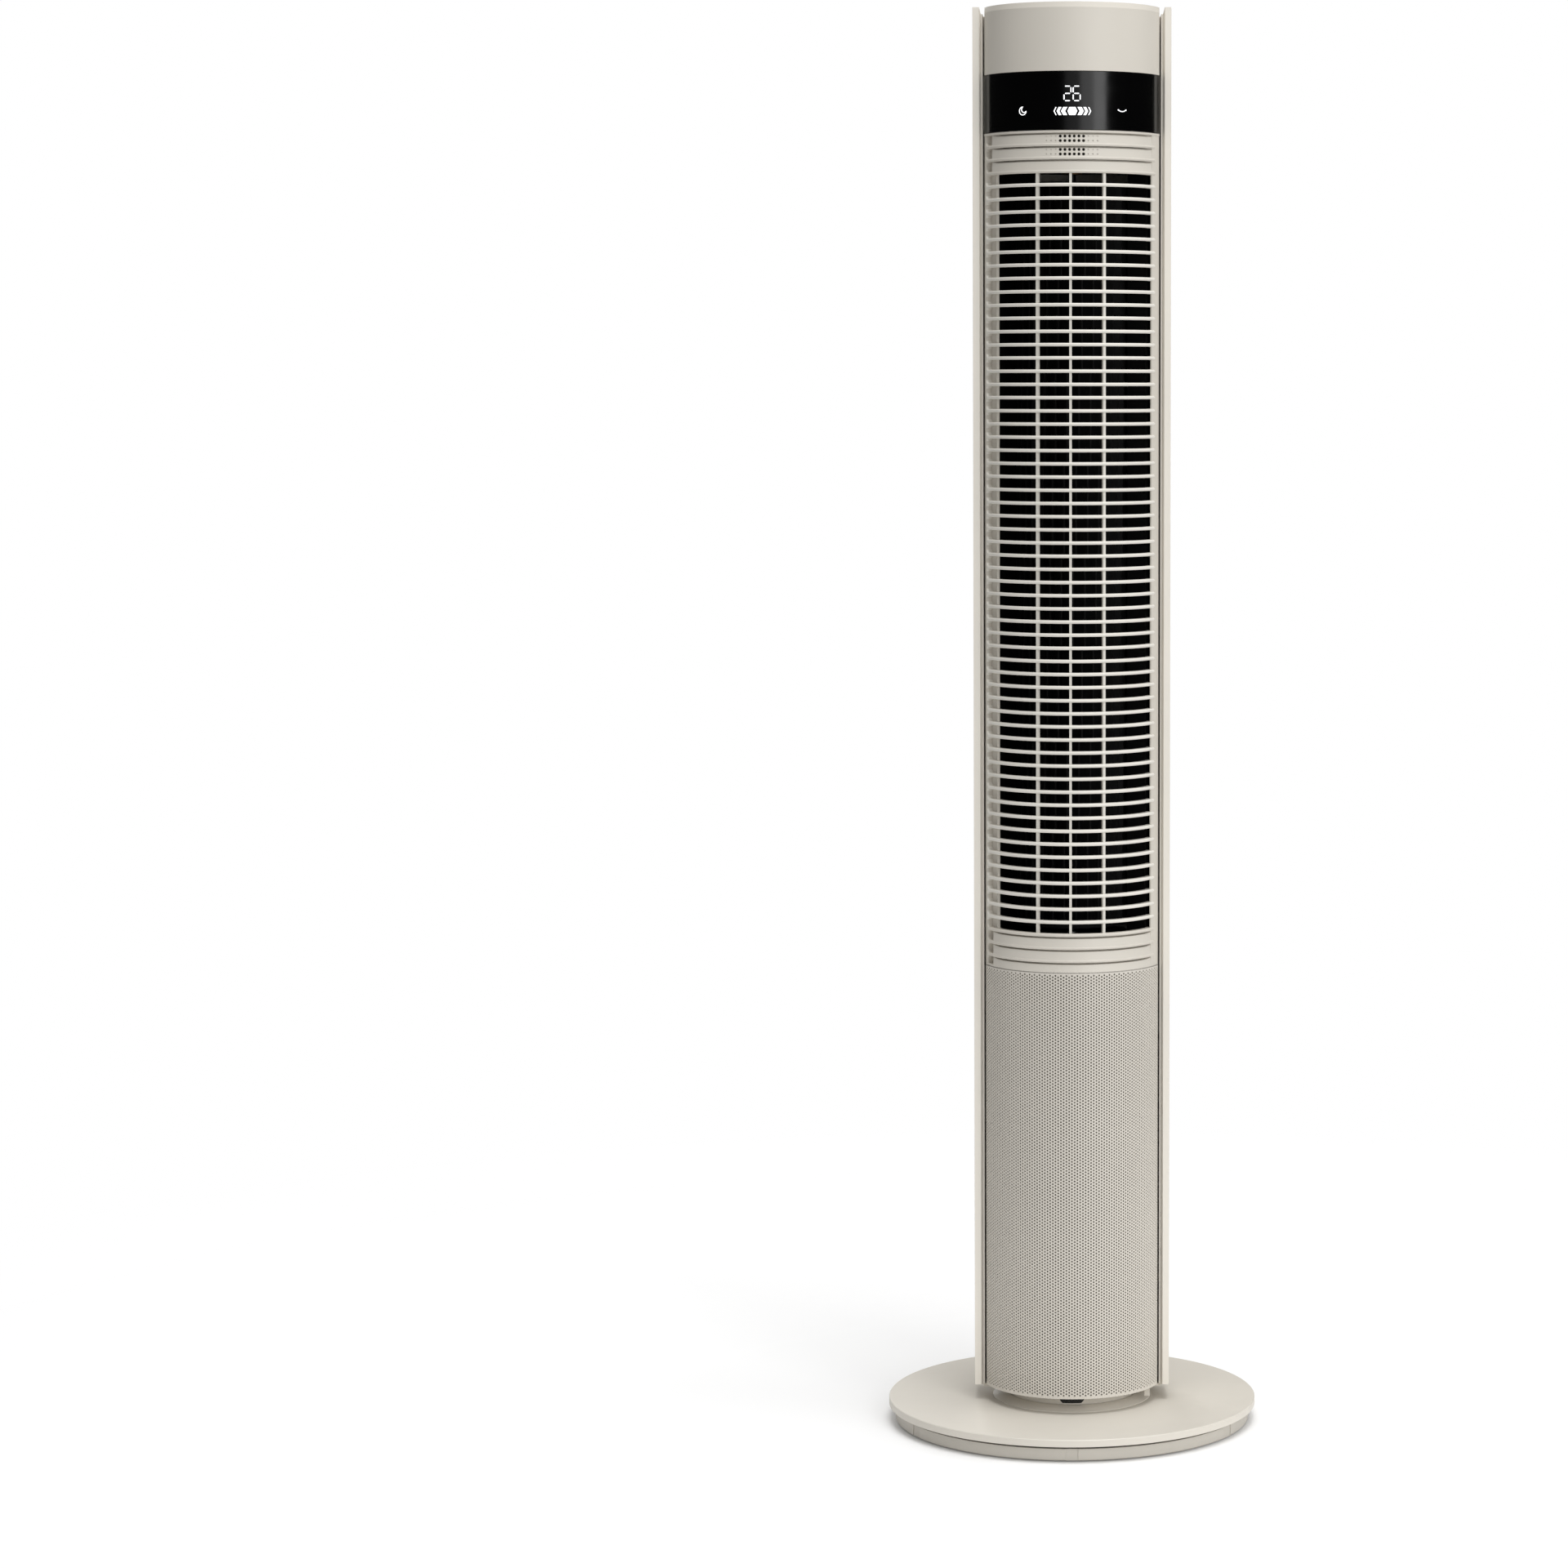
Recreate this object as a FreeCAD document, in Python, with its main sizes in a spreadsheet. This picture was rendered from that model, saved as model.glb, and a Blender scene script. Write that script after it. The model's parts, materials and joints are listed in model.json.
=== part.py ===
"""Tower fan: a swinging tower with a cross-flow blower, standing on a round weighted base.

The origin is the centre of the base on the floor, +Z is up and the air leaves towards -Y.
Lengths are in millimetres and angles in degrees.
"""
import FreeCAD, Part
import math
import operator
import os

import Sketcher

# --------------------------------------------------------------------------- driving dimensions
DIMENSIONS = {
    # base: a thin disc over a slightly smaller tray, with a shadow gap between them
    "base_radius": 144.0, "plate_top": 18.4, "rim_height": 5.6, "plate_thickness": 3.0,
    "rim_wall": 3.0, "rim_chamfer": 0.6, "locating_radius": 136.0, "locating_wall": 2.5,
    "locating_bottom": 10.6, "tray_radius": 139.0, "tray_wall": 2.5, "tray_floor": 2.5,
    "tray_top": 10.3, "tray_chamfer": 0.8, "feet_height": 1.2, "feet_radius": 8.0,
    "feet_circle": 124.0, "feet_count": 6, "flat_width": 9.5, "flat_depth": 0.6,
    "flat_count": 6, "boss_circle": 128.5, "boss_radius": 4.0, "boss_bore": 1.7,
    "tray_screw_head": 3.2, "tray_screw_head_height": 1.2, "tray_screw_shank": 1.6,
    "tray_screw_top": 14.0, "counterbore_radius": 3.5, "counterbore_depth": 1.4,
    "ballast_inner": 45.0, "ballast_outer": 122.0, "ballast_top": 9.8,
    # cable gland through the back of the tray
    "gland_height": 6.2, "gland_bore": 3.2, "gland_radius": 4.1, "gland_neck": 3.8,
    "gland_inner_end": 131.5, "gland_outer_end": 143.5, "gland_clearance": 0.15,
    # pivot between base and tower
    "post_radius": 16.0, "post_bore": 12.5, "post_top": 43.0, "post_flange": 27.0,
    "post_flange_thickness": 3.0, "fit_clearance": 0.05, "post_screw_circle": 21.5,
    "post_screw_head": 2.8, "post_screw_head_height": 2.2, "post_screw_shank": 1.5,
    "post_screw_count": 4, "screw_hole_clearance": 0.1, "collar_inner": 51.6,
    "collar_outer": 62.0, "collar_top": 22.2, "collar_lip": 1.0, "collar_edge": 0.5,
    "slide_ring_inner": 46.8, "slide_ring_outer": 50.8, "slide_ring_thickness": 1.0,
    "hub_radius": 20.5, "hub_bottom": 25.2, "hub_top": 36.6, "washer_thickness": 0.9,
    "thrust_gap": 0.1, "ring_groove_depth": 1.0, "ring_thickness": 1.5, "ring_outer": 20.0,
    "ring_opening": 6.0,
    # swing drive: a fixed gear on the post and a stepper motor whose pinion walks round it
    "gear_module": 1.0, "gear_teeth": 54, "pinion_teeth": 18, "gear_top": 24.4,
    "gear_bore": 16.2, "pinion_bottom": 19.7, "tooth_thinning": 0.12, "pinion_shaft": 2.5,
    "pinion_shaft_top": 41.0, "swing_motor_radius": 14.0, "swing_motor_top": 53.0,
    "swing_ear_reach": 21.0, "swing_ear_width": 7.0, "swing_ear_thickness": 1.2,
    "swing_screw_offset": 17.5, "swing_screw_shank": 1.3, "swing_screw_head": 2.6,
    "swing_screw_head_height": 1.8, "swing_screw_recess": 0.5,
    "swing_shaft_hole": 3.4,
    # tower foot: neck, floor plate and hub
    "neck_radius": 51.0, "neck_inner": 48.2, "floor_bottom": 31.2, "floor_thickness": 2.4,
    "floor_radius": 67.5, "floor_half_width": 64.2, "tab_bottom": 28.0, "tab_top": 30.3,
    "tab_inner": 58.0, "tab_half_depth": 16.0, "lug_width": 4.3, "lug_depth": 4.0,
    "lug_reach": 56.5, "lug_front": -30.0, "lug_bottom": 23.6,
    "window_top_width": 24.0, "window_bottom_width": 16.0,
    "window_bottom": 23.2, "window_corner": 1.6, "window_depth": 4.0, "window_proud": 0.2,
    # tower shell
    "tower_radius": 70.0, "shell_wall": 2.2, "flat_half_width": 66.7, "tower_bottom": 31.0,
    "tower_top": 1098.0, "front_half_angle": 72.35, "seam": 0.4, "housing_front": -18.2,
    "rail_bottom": 30.5, "rail_inner": 69.5, "rail_outer": 75.9, "rail_half_depth": 21.0,
    "rail_groove_width": 1.4, "rail_groove_depth": 3.0, "rail_lip_inner": 68.1,
    "rail_lip_half_depth": 17.5, "rail_top_cut_width": 1.6, "rail_top_cut_height": 5.0,
    "rail_web_front": 4.0, "rail_screw_y": 12.0, "rail_screw_shank": 1.5,
    "rail_screw_end": 73.0, "rail_screw_head": 3.0, "rail_screw_head_height": 2.2,
    "rail_screw_first": 70.0, "rail_screw_pitch": 235.0, "rail_screw_count": 5,
    # lower front panel, front grille, display band and cap, from the bottom up
    "panel_thickness": 2.0, "panel_top": 362.2, "grille_bottom": 362.8, "grille_top": 1002.2,
    "grille_inner": 64.5, "recess_radius": 66.6, "slat_pitch": 10.0,
    "slat_height": 2.6, "lowest_open_slat": 391.5, "open_rows": 58, "closed_rows_above": 3,
    "closed_rows_below": 2, "closed_groove": 1.4, "opening_left": -57.0, "opening_right": 61.0,
    "rib_offset": 25.5, "rib_width": 2.3, "grille_half_angle": 73.6, "vent_radius": 1.1,
    "vent_pitch": 3.5, "vent_columns": 6, "display_bottom": 1002.6, "display_top": 1046.0,
    "display_thickness": 1.8, "display_proud": 0.2, "cap_bottom": 1046.4, "cap_bevel_height": 4.2,
    "cap_bevel_inset": 1.2, "cap_roof": 3.0,
    # rear intake grille
    "intake_half_width": 50.0, "intake_bottom": 395.0, "intake_top": 968.0,
    "intake_border": 4.0, "intake_pitch": 8.0, "intake_slot": 5.2, "intake_rows": 70,
    "intake_thickness": 3.0, "intake_rib_width": 2.4, "intake_rib_pitch": 18.0,
    # cross-flow blower
    "blower_y": 8.0, "bulkhead_radius": 64.0, "bulkhead_thickness": 3.5,
    "lower_bulkhead_bottom": 383.0, "upper_bulkhead_bottom": 975.5, "impeller_radius": 44.0,
    "impeller_bottom": 395.0, "segment_height": 71.0, "segment_count": 8,
    "segment_disc": 2.0, "segment_bore": 30.0, "blade_count": 30, "blade_depth": 9.0,
    "blade_thickness": 1.1, "blade_lean": 10.4, "blade_bend": 0.7, "segment_stagger": 3.0,
    "end_disc": 2.5, "hub_boss": 9.0, "hub_clearance": 2.0, "hub_boss_bottom": 387.6,
    "stub_radius": 3.0, "stub_top": 984.0, "bush_radius": 8.0, "bush_height": 9.0,
    "bearing_rubber_radius": 13.0, "motor_shaft": 4.0, "motor_shaft_bottom": 322.0,
    "set_screw_radius": 1.6, "set_screw_length": 2.0, "set_screw_height": 390.0,
    "scroll_wall": 2.0, "scroll_start_angle": 125.0, "scroll_end_angle": 213.0,
    "scroll_start_radius": 47.0, "scroll_end_radius": 66.0, "duct_gap": 0.3,
    # blower motor
    "motor_radius": 38.0, "motor_bottom": 318.0, "motor_top": 378.0, "motor_wall": 2.0,
    "stator_bore": 24.0, "stator_bottom": 328.0, "stator_top": 362.0, "stator_gap": 0.2,
    "rotor_radius": 23.4, "rotor_bottom": 330.0, "rotor_top": 360.0, "damper_radius": 6.0,
    "damper_circle": 29.0, "motor_screw_shank": 1.8, "motor_screw_head": 3.4,
    "motor_screw_head_height": 2.0, "motor_screw_count": 3, "motor_screw_reach": 6.0,
    # electronics
    "board_thickness": 1.6, "power_board_width": 80.0, "power_board_y": 45.0,
    "power_board_bottom": 90.0, "power_board_height": 140.0, "standoff_radius": 3.0,
    "standoff_length": 10.0, "board_screw_inset": 6.0, "board_screw_shank": 1.4,
    "display_board_width": 84.0, "display_board_y": -48.0, "display_board_bottom": 1006.0,
    "display_board_height": 36.0, "bracket_thickness": 4.0, "bracket_margin": 3.0,
    "harness_radius": 2.2, "harness_x": -51.0, "harness_y": 37.0, "harness_top": 1024.0,
    "harness_bend": 12.0,
    # screw bosses inside the rear housing, at three levels
    "boss_side_x": 38.5, "boss_side_y": 47.0, "boss_edge_x": 58.4, "boss_edge_y": 20.0,
    "housing_boss_radius": 7.4, "housing_boss_height": 17.0, "frame_screw_shank": 1.6,
    "frame_screw_head": 3.0, "frame_screw_head_height": 1.9, "frame_screw_reach": 10.0,
}

# Outline of the vortex wall in plan: from the outlet's right edge to a rounded nose beside the
# impeller, and back to the housing.
VORTEX_OUTLINE = [(58.5, -26.5), (45.0, -13.1), (45.6, -10.7), (62.8, 0.2),
                  (62.0, 2.2), (44.2, -8.7), (42.8, -13.5), (56.6, -27.6)]

# Parts on the power board: left, right, reach in front of the board, bottom and top above its edge.
BOARD_BLOCKS = {
    "transformer": (-28, 4, 22, 20, 52),
    "relay": (12, 30, 12, 22, 44),
    "choke": (16, 32, 14, 64, 80),
    "connector": (-26, 26, 9, 106, 118),
}
CAPACITORS = {"radius": 8, "length": 24, "height": 78, "places": (-18, 2)}

# Rows of vent holes, counted down in vent pitches from the highest closed row's lower edge.
VENT_ROWS = (1.1, 2.1, 4.0, 5.0)

# Lit modules in front of the display board: left, right, reach, bottom and top above its edge.
DIGIT_BLOCK = (-9, 9, 9, 15, 31)
INDICATOR_BLOCKS = [(-15, 15, 8, 5, 13), (-40, -30, 4, 5, 15), (30, 40, 4, 5, 15)]
TOUCH_SPRINGS = {"radius": 2.5, "length": 12, "height": 25, "places": (-26, -17, 17, 26)}

document = FreeCAD.newDocument("tower_fan")
sheet = document.addObject("Spreadsheet::Sheet", "dims")
PARTS = []


class Dim:
    """A size taken from the sheet: its number, and the formula that binds a feature to it."""

    def __init__(self, number, formula):
        self.number = number
        self.formula = formula

    def join(self, sign, work, other, swapped=False):
        other = as_dim(other)
        first, second = (other, self) if swapped else (self, other)
        return Dim(work(first.number, second.number), f"({first.formula} {sign} {second.formula})")

    def __add__(self, other):
        return self.join("+", operator.add, other)

    def __radd__(self, other):
        return self.join("+", operator.add, other, swapped=True)

    def __sub__(self, other):
        return self.join("-", operator.sub, other)

    def __rsub__(self, other):
        return self.join("-", operator.sub, other, swapped=True)

    def __mul__(self, other):
        return self.join("*", operator.mul, other)

    def __rmul__(self, other):
        return self.join("*", operator.mul, other, swapped=True)

    def __truediv__(self, other):
        return self.join("/", operator.truediv, other)

    def __neg__(self):
        return 0 - self


def as_dim(size):
    return size if isinstance(size, Dim) else Dim(float(size), repr(float(size)))


class Sizes:
    """Gives every dimension of the sheet by its name."""


def fill_sheet():
    sizes = Sizes()
    for row, (name, number) in enumerate(DIMENSIONS.items(), start=1):
        sheet.set(f"A{row}", name)
        sheet.set(f"B{row}", str(number))
        sheet.setAlias(f"B{row}", name)
        setattr(sizes, name, Dim(number, f"dims.{name}"))
    document.recompute()
    return sizes


d = fill_sheet()
HOUSING_BOSSES = [(-d.boss_side_x, d.boss_side_y), (d.boss_side_x, d.boss_side_y),
                  (d.boss_edge_x, d.boss_edge_y)]


# --------------------------------------------------------------------------- modelling helpers
def bind(thing, **sizes):
    """Binds properties of a feature to sizes; a property path's dots are written as '__'."""
    for path, size in sizes.items():
        thing.setExpression(path.replace("__", "."), as_dim(size).formula)


def place(thing, x=0, y=0, z=0):
    """Places an object by formulas on its Placement."""
    bind(thing, Placement__Base__x=x, Placement__Base__y=y, Placement__Base__z=z)


def keep(thing, label):
    """Registers a finished sub-part under the name of its file."""
    thing.Label = label
    PARTS.append(thing)
    return thing


def new_body(label):
    return keep(document.addObject("PartDesign::Body", label + "_body"), label)


def new_sketch(body, plane, offset=0):
    """A sketch on one of the body's origin planes, moved along its normal by a bound offset."""
    sketch = body.newObject("Sketcher::SketchObject", body.Label + "_sketch")
    sketch.AttachmentSupport = [(next(f for f in body.Origin.OriginFeatures if f.Role == plane), "")]
    sketch.MapMode = "FlatFace"
    bind(sketch, AttachmentOffset__Base__z=offset)
    return sketch


def pin(sketch, geometry, point, axis, size):
    """Fixes one coordinate of a sketch point to a size."""
    kind = {"x": "DistanceX", "y": "DistanceY"}[axis]
    size = as_dim(size)
    index = sketch.addConstraint(Sketcher.Constraint(kind, -1, 1, geometry, point, size.number))
    name = f"{axis}{geometry}"
    sketch.renameConstraint(index, name)
    sketch.setExpression(f"Constraints.{name}", size.formula)


def draw_polygon(sketch, points):
    """A closed outline of straight lines; every corner is pinned to sizes."""
    corners = [(as_dim(x), as_dim(y)) for x, y in points]
    vectors = [FreeCAD.Vector(x.number, y.number, 0) for x, y in corners]
    first = sketch.GeometryCount
    for start, end in zip(vectors, vectors[1:] + vectors[:1]):
        sketch.addGeometry(Part.LineSegment(start, end))
    for index, (x, y) in enumerate(corners):
        line = first + index
        following = first + (index + 1) % len(corners)
        sketch.addConstraint(Sketcher.Constraint("Coincident", line, 2, following, 1))
        pin(sketch, line, 1, "x", x)
        pin(sketch, line, 1, "y", y)


def draw_circle(sketch, x, y, radius):
    """A circle whose centre and radius are bound to sizes."""
    x, y, radius = as_dim(x), as_dim(y), as_dim(radius)
    circle = Part.Circle(FreeCAD.Vector(x.number, y.number, 0), FreeCAD.Vector(0, 0, 1), radius.number)
    geometry = sketch.addGeometry(circle)
    pin(sketch, geometry, 3, "x", x)
    pin(sketch, geometry, 3, "y", y)
    index = sketch.addConstraint(Sketcher.Constraint("Radius", geometry, radius.number))
    sketch.renameConstraint(index, f"r{geometry}")
    sketch.setExpression(f"Constraints.r{geometry}", radius.formula)


def rectangle(left, low, right, high):
    return [(left, low), (right, low), (right, high), (left, high)]


def side_span(side, near, far):
    """The left and right ends of a span on the left (-1) or the right (1) of the middle."""
    return (near, far) if side > 0 else (-far, -near)


def side_rectangle(side, near, far, low, high):
    left, right = side_span(side, near, far)
    return rectangle(left, low, right, high)


def revolve(body, sketch, kind="PartDesign::Revolution", angle=None):
    """Turns a sketch about the vertical axis, all the way or evenly to both sides of its plane."""
    feature = body.newObject(kind, body.Label + "_turn")
    feature.Profile = sketch
    feature.ReferenceAxis = (sketch, ["V_Axis"])
    if angle is not None:
        feature.Midplane = True
        bind(feature, Angle=angle)
    return feature


def turned(label, points, angle=None):
    """A body turned from an outline of (radius, height); a partial turn is centred on -Y."""
    body = new_body(label)
    sketch = new_sketch(body, "XZ_Plane" if angle is None else "YZ_Plane")
    side = 1 if angle is None else -1
    draw_polygon(sketch, [(side * as_dim(radius), height) for radius, height in points])
    revolve(body, sketch, angle=angle)
    return body


def extrude(body, sketch, length, kind="PartDesign::Pad"):
    feature = body.newObject(kind, body.Label + "_run")
    feature.Profile = sketch
    bind(feature, Length=length)
    return feature


def pocket(body, sketch, length, along_normal=True):
    """Cuts a sketch's outline out of the body, and checks that it removed material."""
    document.recompute()
    volume = body.Shape.Volume
    feature = extrude(body, sketch, length, "PartDesign::Pocket")
    feature.Reversed = along_normal
    document.recompute()
    if not body.Shape.Volume < volume:
        raise RuntimeError(f"a pocket in {body.Label} cuts nothing")
    return feature


def ring(label, outer, inner, low, high, x=0, y=0):
    """A plain ring or sleeve standing on its flat end."""
    body = new_body(label)
    sketch = new_sketch(body, "XY_Plane", low)
    draw_circle(sketch, x, y, outer)
    draw_circle(sketch, x, y, inner)
    extrude(body, sketch, high - as_dim(low))
    return body


def disc_pad(body, x, y, radius, low, high):
    """Adds a round boss to a body between two heights."""
    sketch = new_sketch(body, "XY_Plane", low)
    draw_circle(sketch, x, y, radius)
    return extrude(body, sketch, as_dim(high) - low)


def cut_disc(body, x, y, radius, low, high):
    """Cuts a round hole in a body between two heights."""
    sketch = new_sketch(body, "XY_Plane", low)
    draw_circle(sketch, x, y, radius)
    return pocket(body, sketch, as_dim(high) - low)


def block_pad(body, left, front, right, back, low, high):
    """Adds a rectangular block to a body between two heights."""
    sketch = new_sketch(body, "XY_Plane", low)
    draw_polygon(sketch, rectangle(left, front, right, back))
    return extrude(body, sketch, as_dim(high) - low)


def polar(body, features, count):
    """Repeats features about the body's vertical axis."""
    document.recompute()
    pattern = body.newObject("PartDesign::PolarPattern", body.Label + "_polar")
    pattern.Originals = features
    pattern.Axis = (next(f for f in body.Origin.OriginFeatures if f.Role == "Z_Axis"), [""])
    pattern.Angle = 360
    bind(pattern, Occurrences=count)
    body.Tip = pattern
    document.recompute()
    return pattern


def stack(body, features, pitch, count):
    """Repeats features upwards at an even pitch."""
    document.recompute()
    pattern = body.newObject("PartDesign::LinearPattern", body.Label + "_stack")
    pattern.Originals = features
    pattern.Direction = (next(f for f in body.Origin.OriginFeatures if f.Role == "Z_Axis"), [""])
    bind(pattern, Length=pitch * (count - 1), Occurrences=count)
    body.Tip = pattern
    document.recompute()
    return pattern


def cylinder(radius, low, high, x=0, y=0):
    solid = document.addObject("Part::Cylinder", "cylinder")
    bind(solid, Radius=radius, Height=as_dim(high) - low)
    place(solid, x, y, low)
    return solid


def level_cylinder(radius, start, end, axis, across, height):
    """A cylinder lying along X or Y from start to end."""
    solid = document.addObject("Part::Cylinder", "level_cylinder")
    bind(solid, Radius=radius, Height=as_dim(end) - start)
    if axis == "x":
        solid.Placement.Rotation = FreeCAD.Rotation(FreeCAD.Vector(0, 1, 0), 90)
        place(solid, start, across, height)
    else:
        solid.Placement.Rotation = FreeCAD.Rotation(FreeCAD.Vector(1, 0, 0), -90)
        place(solid, across, start, height)
    return solid


def block(low, high):
    """A box between two corners."""
    solid = document.addObject("Part::Box", "block")
    spans = [as_dim(top) - bottom for bottom, top in zip(low, high)]
    bind(solid, Length=spans[0], Width=spans[1], Height=spans[2])
    place(solid, *low)
    return solid


def cut(base, tool):
    result = document.addObject("Part::Cut", "cut")
    result.Base = base
    result.Tool = tool
    return result


def common(first, second):
    result = document.addObject("Part::Common", "common")
    result.Base = first
    result.Tool = second
    return result


def fuse(*pieces):
    result = document.addObject("Part::MultiFuse", "fuse")
    result.Shapes = list(pieces)
    return result


def group(label, pieces):
    """Separate identical solids that share one sub-part."""
    result = document.addObject("Part::Compound", "group")
    result.Links = list(pieces)
    return keep(result, label)


def shaped(label, shape):
    """A sub-part whose outline comes from a formula."""
    feature = document.addObject("Part::Feature", label + "_shape")
    feature.Shape = shape
    return keep(feature, label)


def flat_sided(radius, half_width, low, high):
    """A cylinder with flat left and right sides."""
    body = cylinder(radius, low, high)
    return common(body, block((-half_width, -radius, low), (half_width, radius, high)))


def polar_point(radius, angle, y=0.0):
    """A point on a circle; the angle is counted from +X."""
    turn = math.radians(angle)
    return FreeCAD.Vector(radius * math.cos(turn), y + radius * math.sin(turn), 0)


# --------------------------------------------------------------------------- base
def make_base_plate():
    """The flat disc on top of the base, with a thin rim and six screw bosses underneath."""
    under = d.plate_top - d.plate_thickness
    rim = d.base_radius - d.rim_wall
    body = turned("base_plate", [
        (d.post_radius + d.fit_clearance, under),
        (d.locating_radius - d.locating_wall, under),
        (d.locating_radius - d.locating_wall, d.locating_bottom),
        (d.locating_radius, d.locating_bottom),
        (d.locating_radius, under),
        (rim, under),
        (rim, d.plate_top - d.rim_height),
        (d.base_radius, d.plate_top - d.rim_height),
        (d.base_radius, d.plate_top - d.rim_chamfer),
        (d.base_radius - d.rim_chamfer, d.plate_top),
        (d.post_radius + d.fit_clearance, d.plate_top),
    ])
    boss = disc_pad(body, d.boss_circle, 0, d.boss_radius, d.feet_height + d.tray_floor, under)
    bore = cut_disc(body, d.boss_circle, 0, d.boss_bore, d.feet_height + d.tray_floor, under)
    polar(body, [boss, bore], d.feet_count)
    hole = cut_disc(body, d.post_screw_circle, 0, d.post_screw_shank + d.screw_hole_clearance,
                    under, d.plate_top)
    polar(body, [hole], d.post_screw_count)


def make_base_tray():
    """The shallow tray under the disc, with six small flats round its wall."""
    bottom = d.feet_height
    inner = d.tray_radius - d.tray_wall
    body = turned("base_tray", [
        (0, bottom),
        (d.tray_radius - d.tray_chamfer, bottom),
        (d.tray_radius, bottom + d.tray_chamfer),
        (d.tray_radius, d.tray_top),
        (inner, d.tray_top),
        (inner, bottom + d.tray_floor),
        (0, bottom + d.tray_floor),
    ])
    hole = cut_disc(body, d.boss_circle, 0, d.boss_bore, bottom, bottom + d.tray_floor)
    recess = cut_disc(body, d.boss_circle, 0, d.counterbore_radius, bottom,
                      bottom + d.counterbore_depth)
    polar(body, [hole, recess], d.feet_count)
    sketch = new_sketch(body, "XY_Plane", bottom)
    draw_polygon(sketch, rectangle(-d.flat_width / 2, -d.tray_radius - 1,
                                   d.flat_width / 2, -d.tray_radius + d.flat_depth))
    flat = pocket(body, sketch, d.tray_top - bottom)
    polar(body, [flat], d.flat_count)
    for radius, start, end in ((d.gland_neck, inner - 1, d.tray_radius + 1),
                               (d.gland_radius + d.gland_clearance, d.gland_inner_end - 1, inner)):
        sketch = new_sketch(body, "XZ_Plane", -end)
        draw_circle(sketch, 0, d.gland_height, radius)
        pocket(body, sketch, end - start)


def make_base_weights_and_feet():
    """Steel ballast ring, six rubber feet and six tray screws."""
    floor = d.feet_height + d.tray_floor
    ring("ballast_ring", d.ballast_outer, d.ballast_inner, floor, d.ballast_top)
    feet = new_body("rubber_feet")
    polar(feet, [disc_pad(feet, 0, -d.feet_circle, d.feet_radius, 0, d.feet_height)], d.feet_count)
    screws = new_body("tray_screws")
    seat = d.feet_height + d.counterbore_depth
    head = disc_pad(screws, d.boss_circle, 0, d.tray_screw_head, seat - d.tray_screw_head_height, seat)
    shank = disc_pad(screws, d.boss_circle, 0, d.tray_screw_shank, seat, d.tray_screw_top)
    polar(screws, [head, shank], d.feet_count)


def make_cable_gland():
    """A grooved sleeve in the back wall of the tray; the mains cord would leave through it."""
    inner = d.tray_radius - d.tray_wall
    sleeve = fuse(
        level_cylinder(d.gland_radius, d.gland_inner_end, inner, "y", 0, d.gland_height),
        level_cylinder(d.gland_neck, inner, d.tray_radius, "y", 0, d.gland_height),
        level_cylinder(d.gland_radius, d.tray_radius, d.gland_outer_end, "y", 0, d.gland_height),
    )
    bore = level_cylinder(d.gland_bore, d.gland_inner_end, d.gland_outer_end, "y", 0, d.gland_height)
    keep(cut(sleeve, bore), "cable_gland")


# --------------------------------------------------------------------------- pivot and swing drive
def make_pivot():
    """Hollow post with its screws, slide ring, thrust washer, retaining ring and visible collar."""
    under = d.plate_top - d.plate_thickness
    flange_bottom = under - d.post_flange_thickness
    groove = d.hub_top + d.washer_thickness + 2 * d.thrust_gap
    groove_top = groove + d.ring_thickness + d.thrust_gap
    post = turned("pivot_post", [
        (d.post_bore, flange_bottom),
        (d.post_flange, flange_bottom),
        (d.post_flange, under),
        (d.post_radius, under),
        (d.post_radius, groove),
        (d.post_radius - d.ring_groove_depth, groove),
        (d.post_radius - d.ring_groove_depth, groove_top),
        (d.post_radius, groove_top),
        (d.post_radius, d.post_top),
        (d.post_bore, d.post_top),
    ])
    hole = cut_disc(post, d.post_screw_circle, 0, d.post_screw_shank + d.screw_hole_clearance,
                    flange_bottom, under)
    polar(post, [hole], d.post_screw_count)
    screws = new_body("post_screws")
    head = disc_pad(screws, d.post_screw_circle, 0, d.post_screw_head,
                    flange_bottom - d.post_screw_head_height, flange_bottom)
    shank = disc_pad(screws, d.post_screw_circle, 0, d.post_screw_shank, flange_bottom,
                     d.gear_top - 1)
    polar(screws, [head, shank], d.post_screw_count)
    turned("base_collar", [
        (d.collar_inner, d.plate_top),
        (d.collar_outer, d.plate_top),
        (d.collar_outer, d.plate_top + d.collar_edge),
        (d.collar_inner + d.collar_lip, d.collar_top),
        (d.collar_inner, d.collar_top),
    ])
    ring("slide_ring", d.slide_ring_outer, d.slide_ring_inner, d.plate_top,
         d.plate_top + d.slide_ring_thickness)
    ring("thrust_washer", d.hub_radius, d.post_radius + d.fit_clearance, d.hub_top + d.thrust_gap,
         d.hub_top + d.thrust_gap + d.washer_thickness)
    inner = d.post_radius - d.ring_groove_depth + d.fit_clearance
    closed = cut(cylinder(d.ring_outer, groove, groove + d.ring_thickness),
                 cylinder(inner, groove, groove + d.ring_thickness))
    opening = block((-d.ring_opening / 2, 0, groove),
                    (d.ring_opening / 2, d.ring_outer, groove + d.ring_thickness))
    keep(cut(closed, opening), "retaining_ring")


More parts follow.
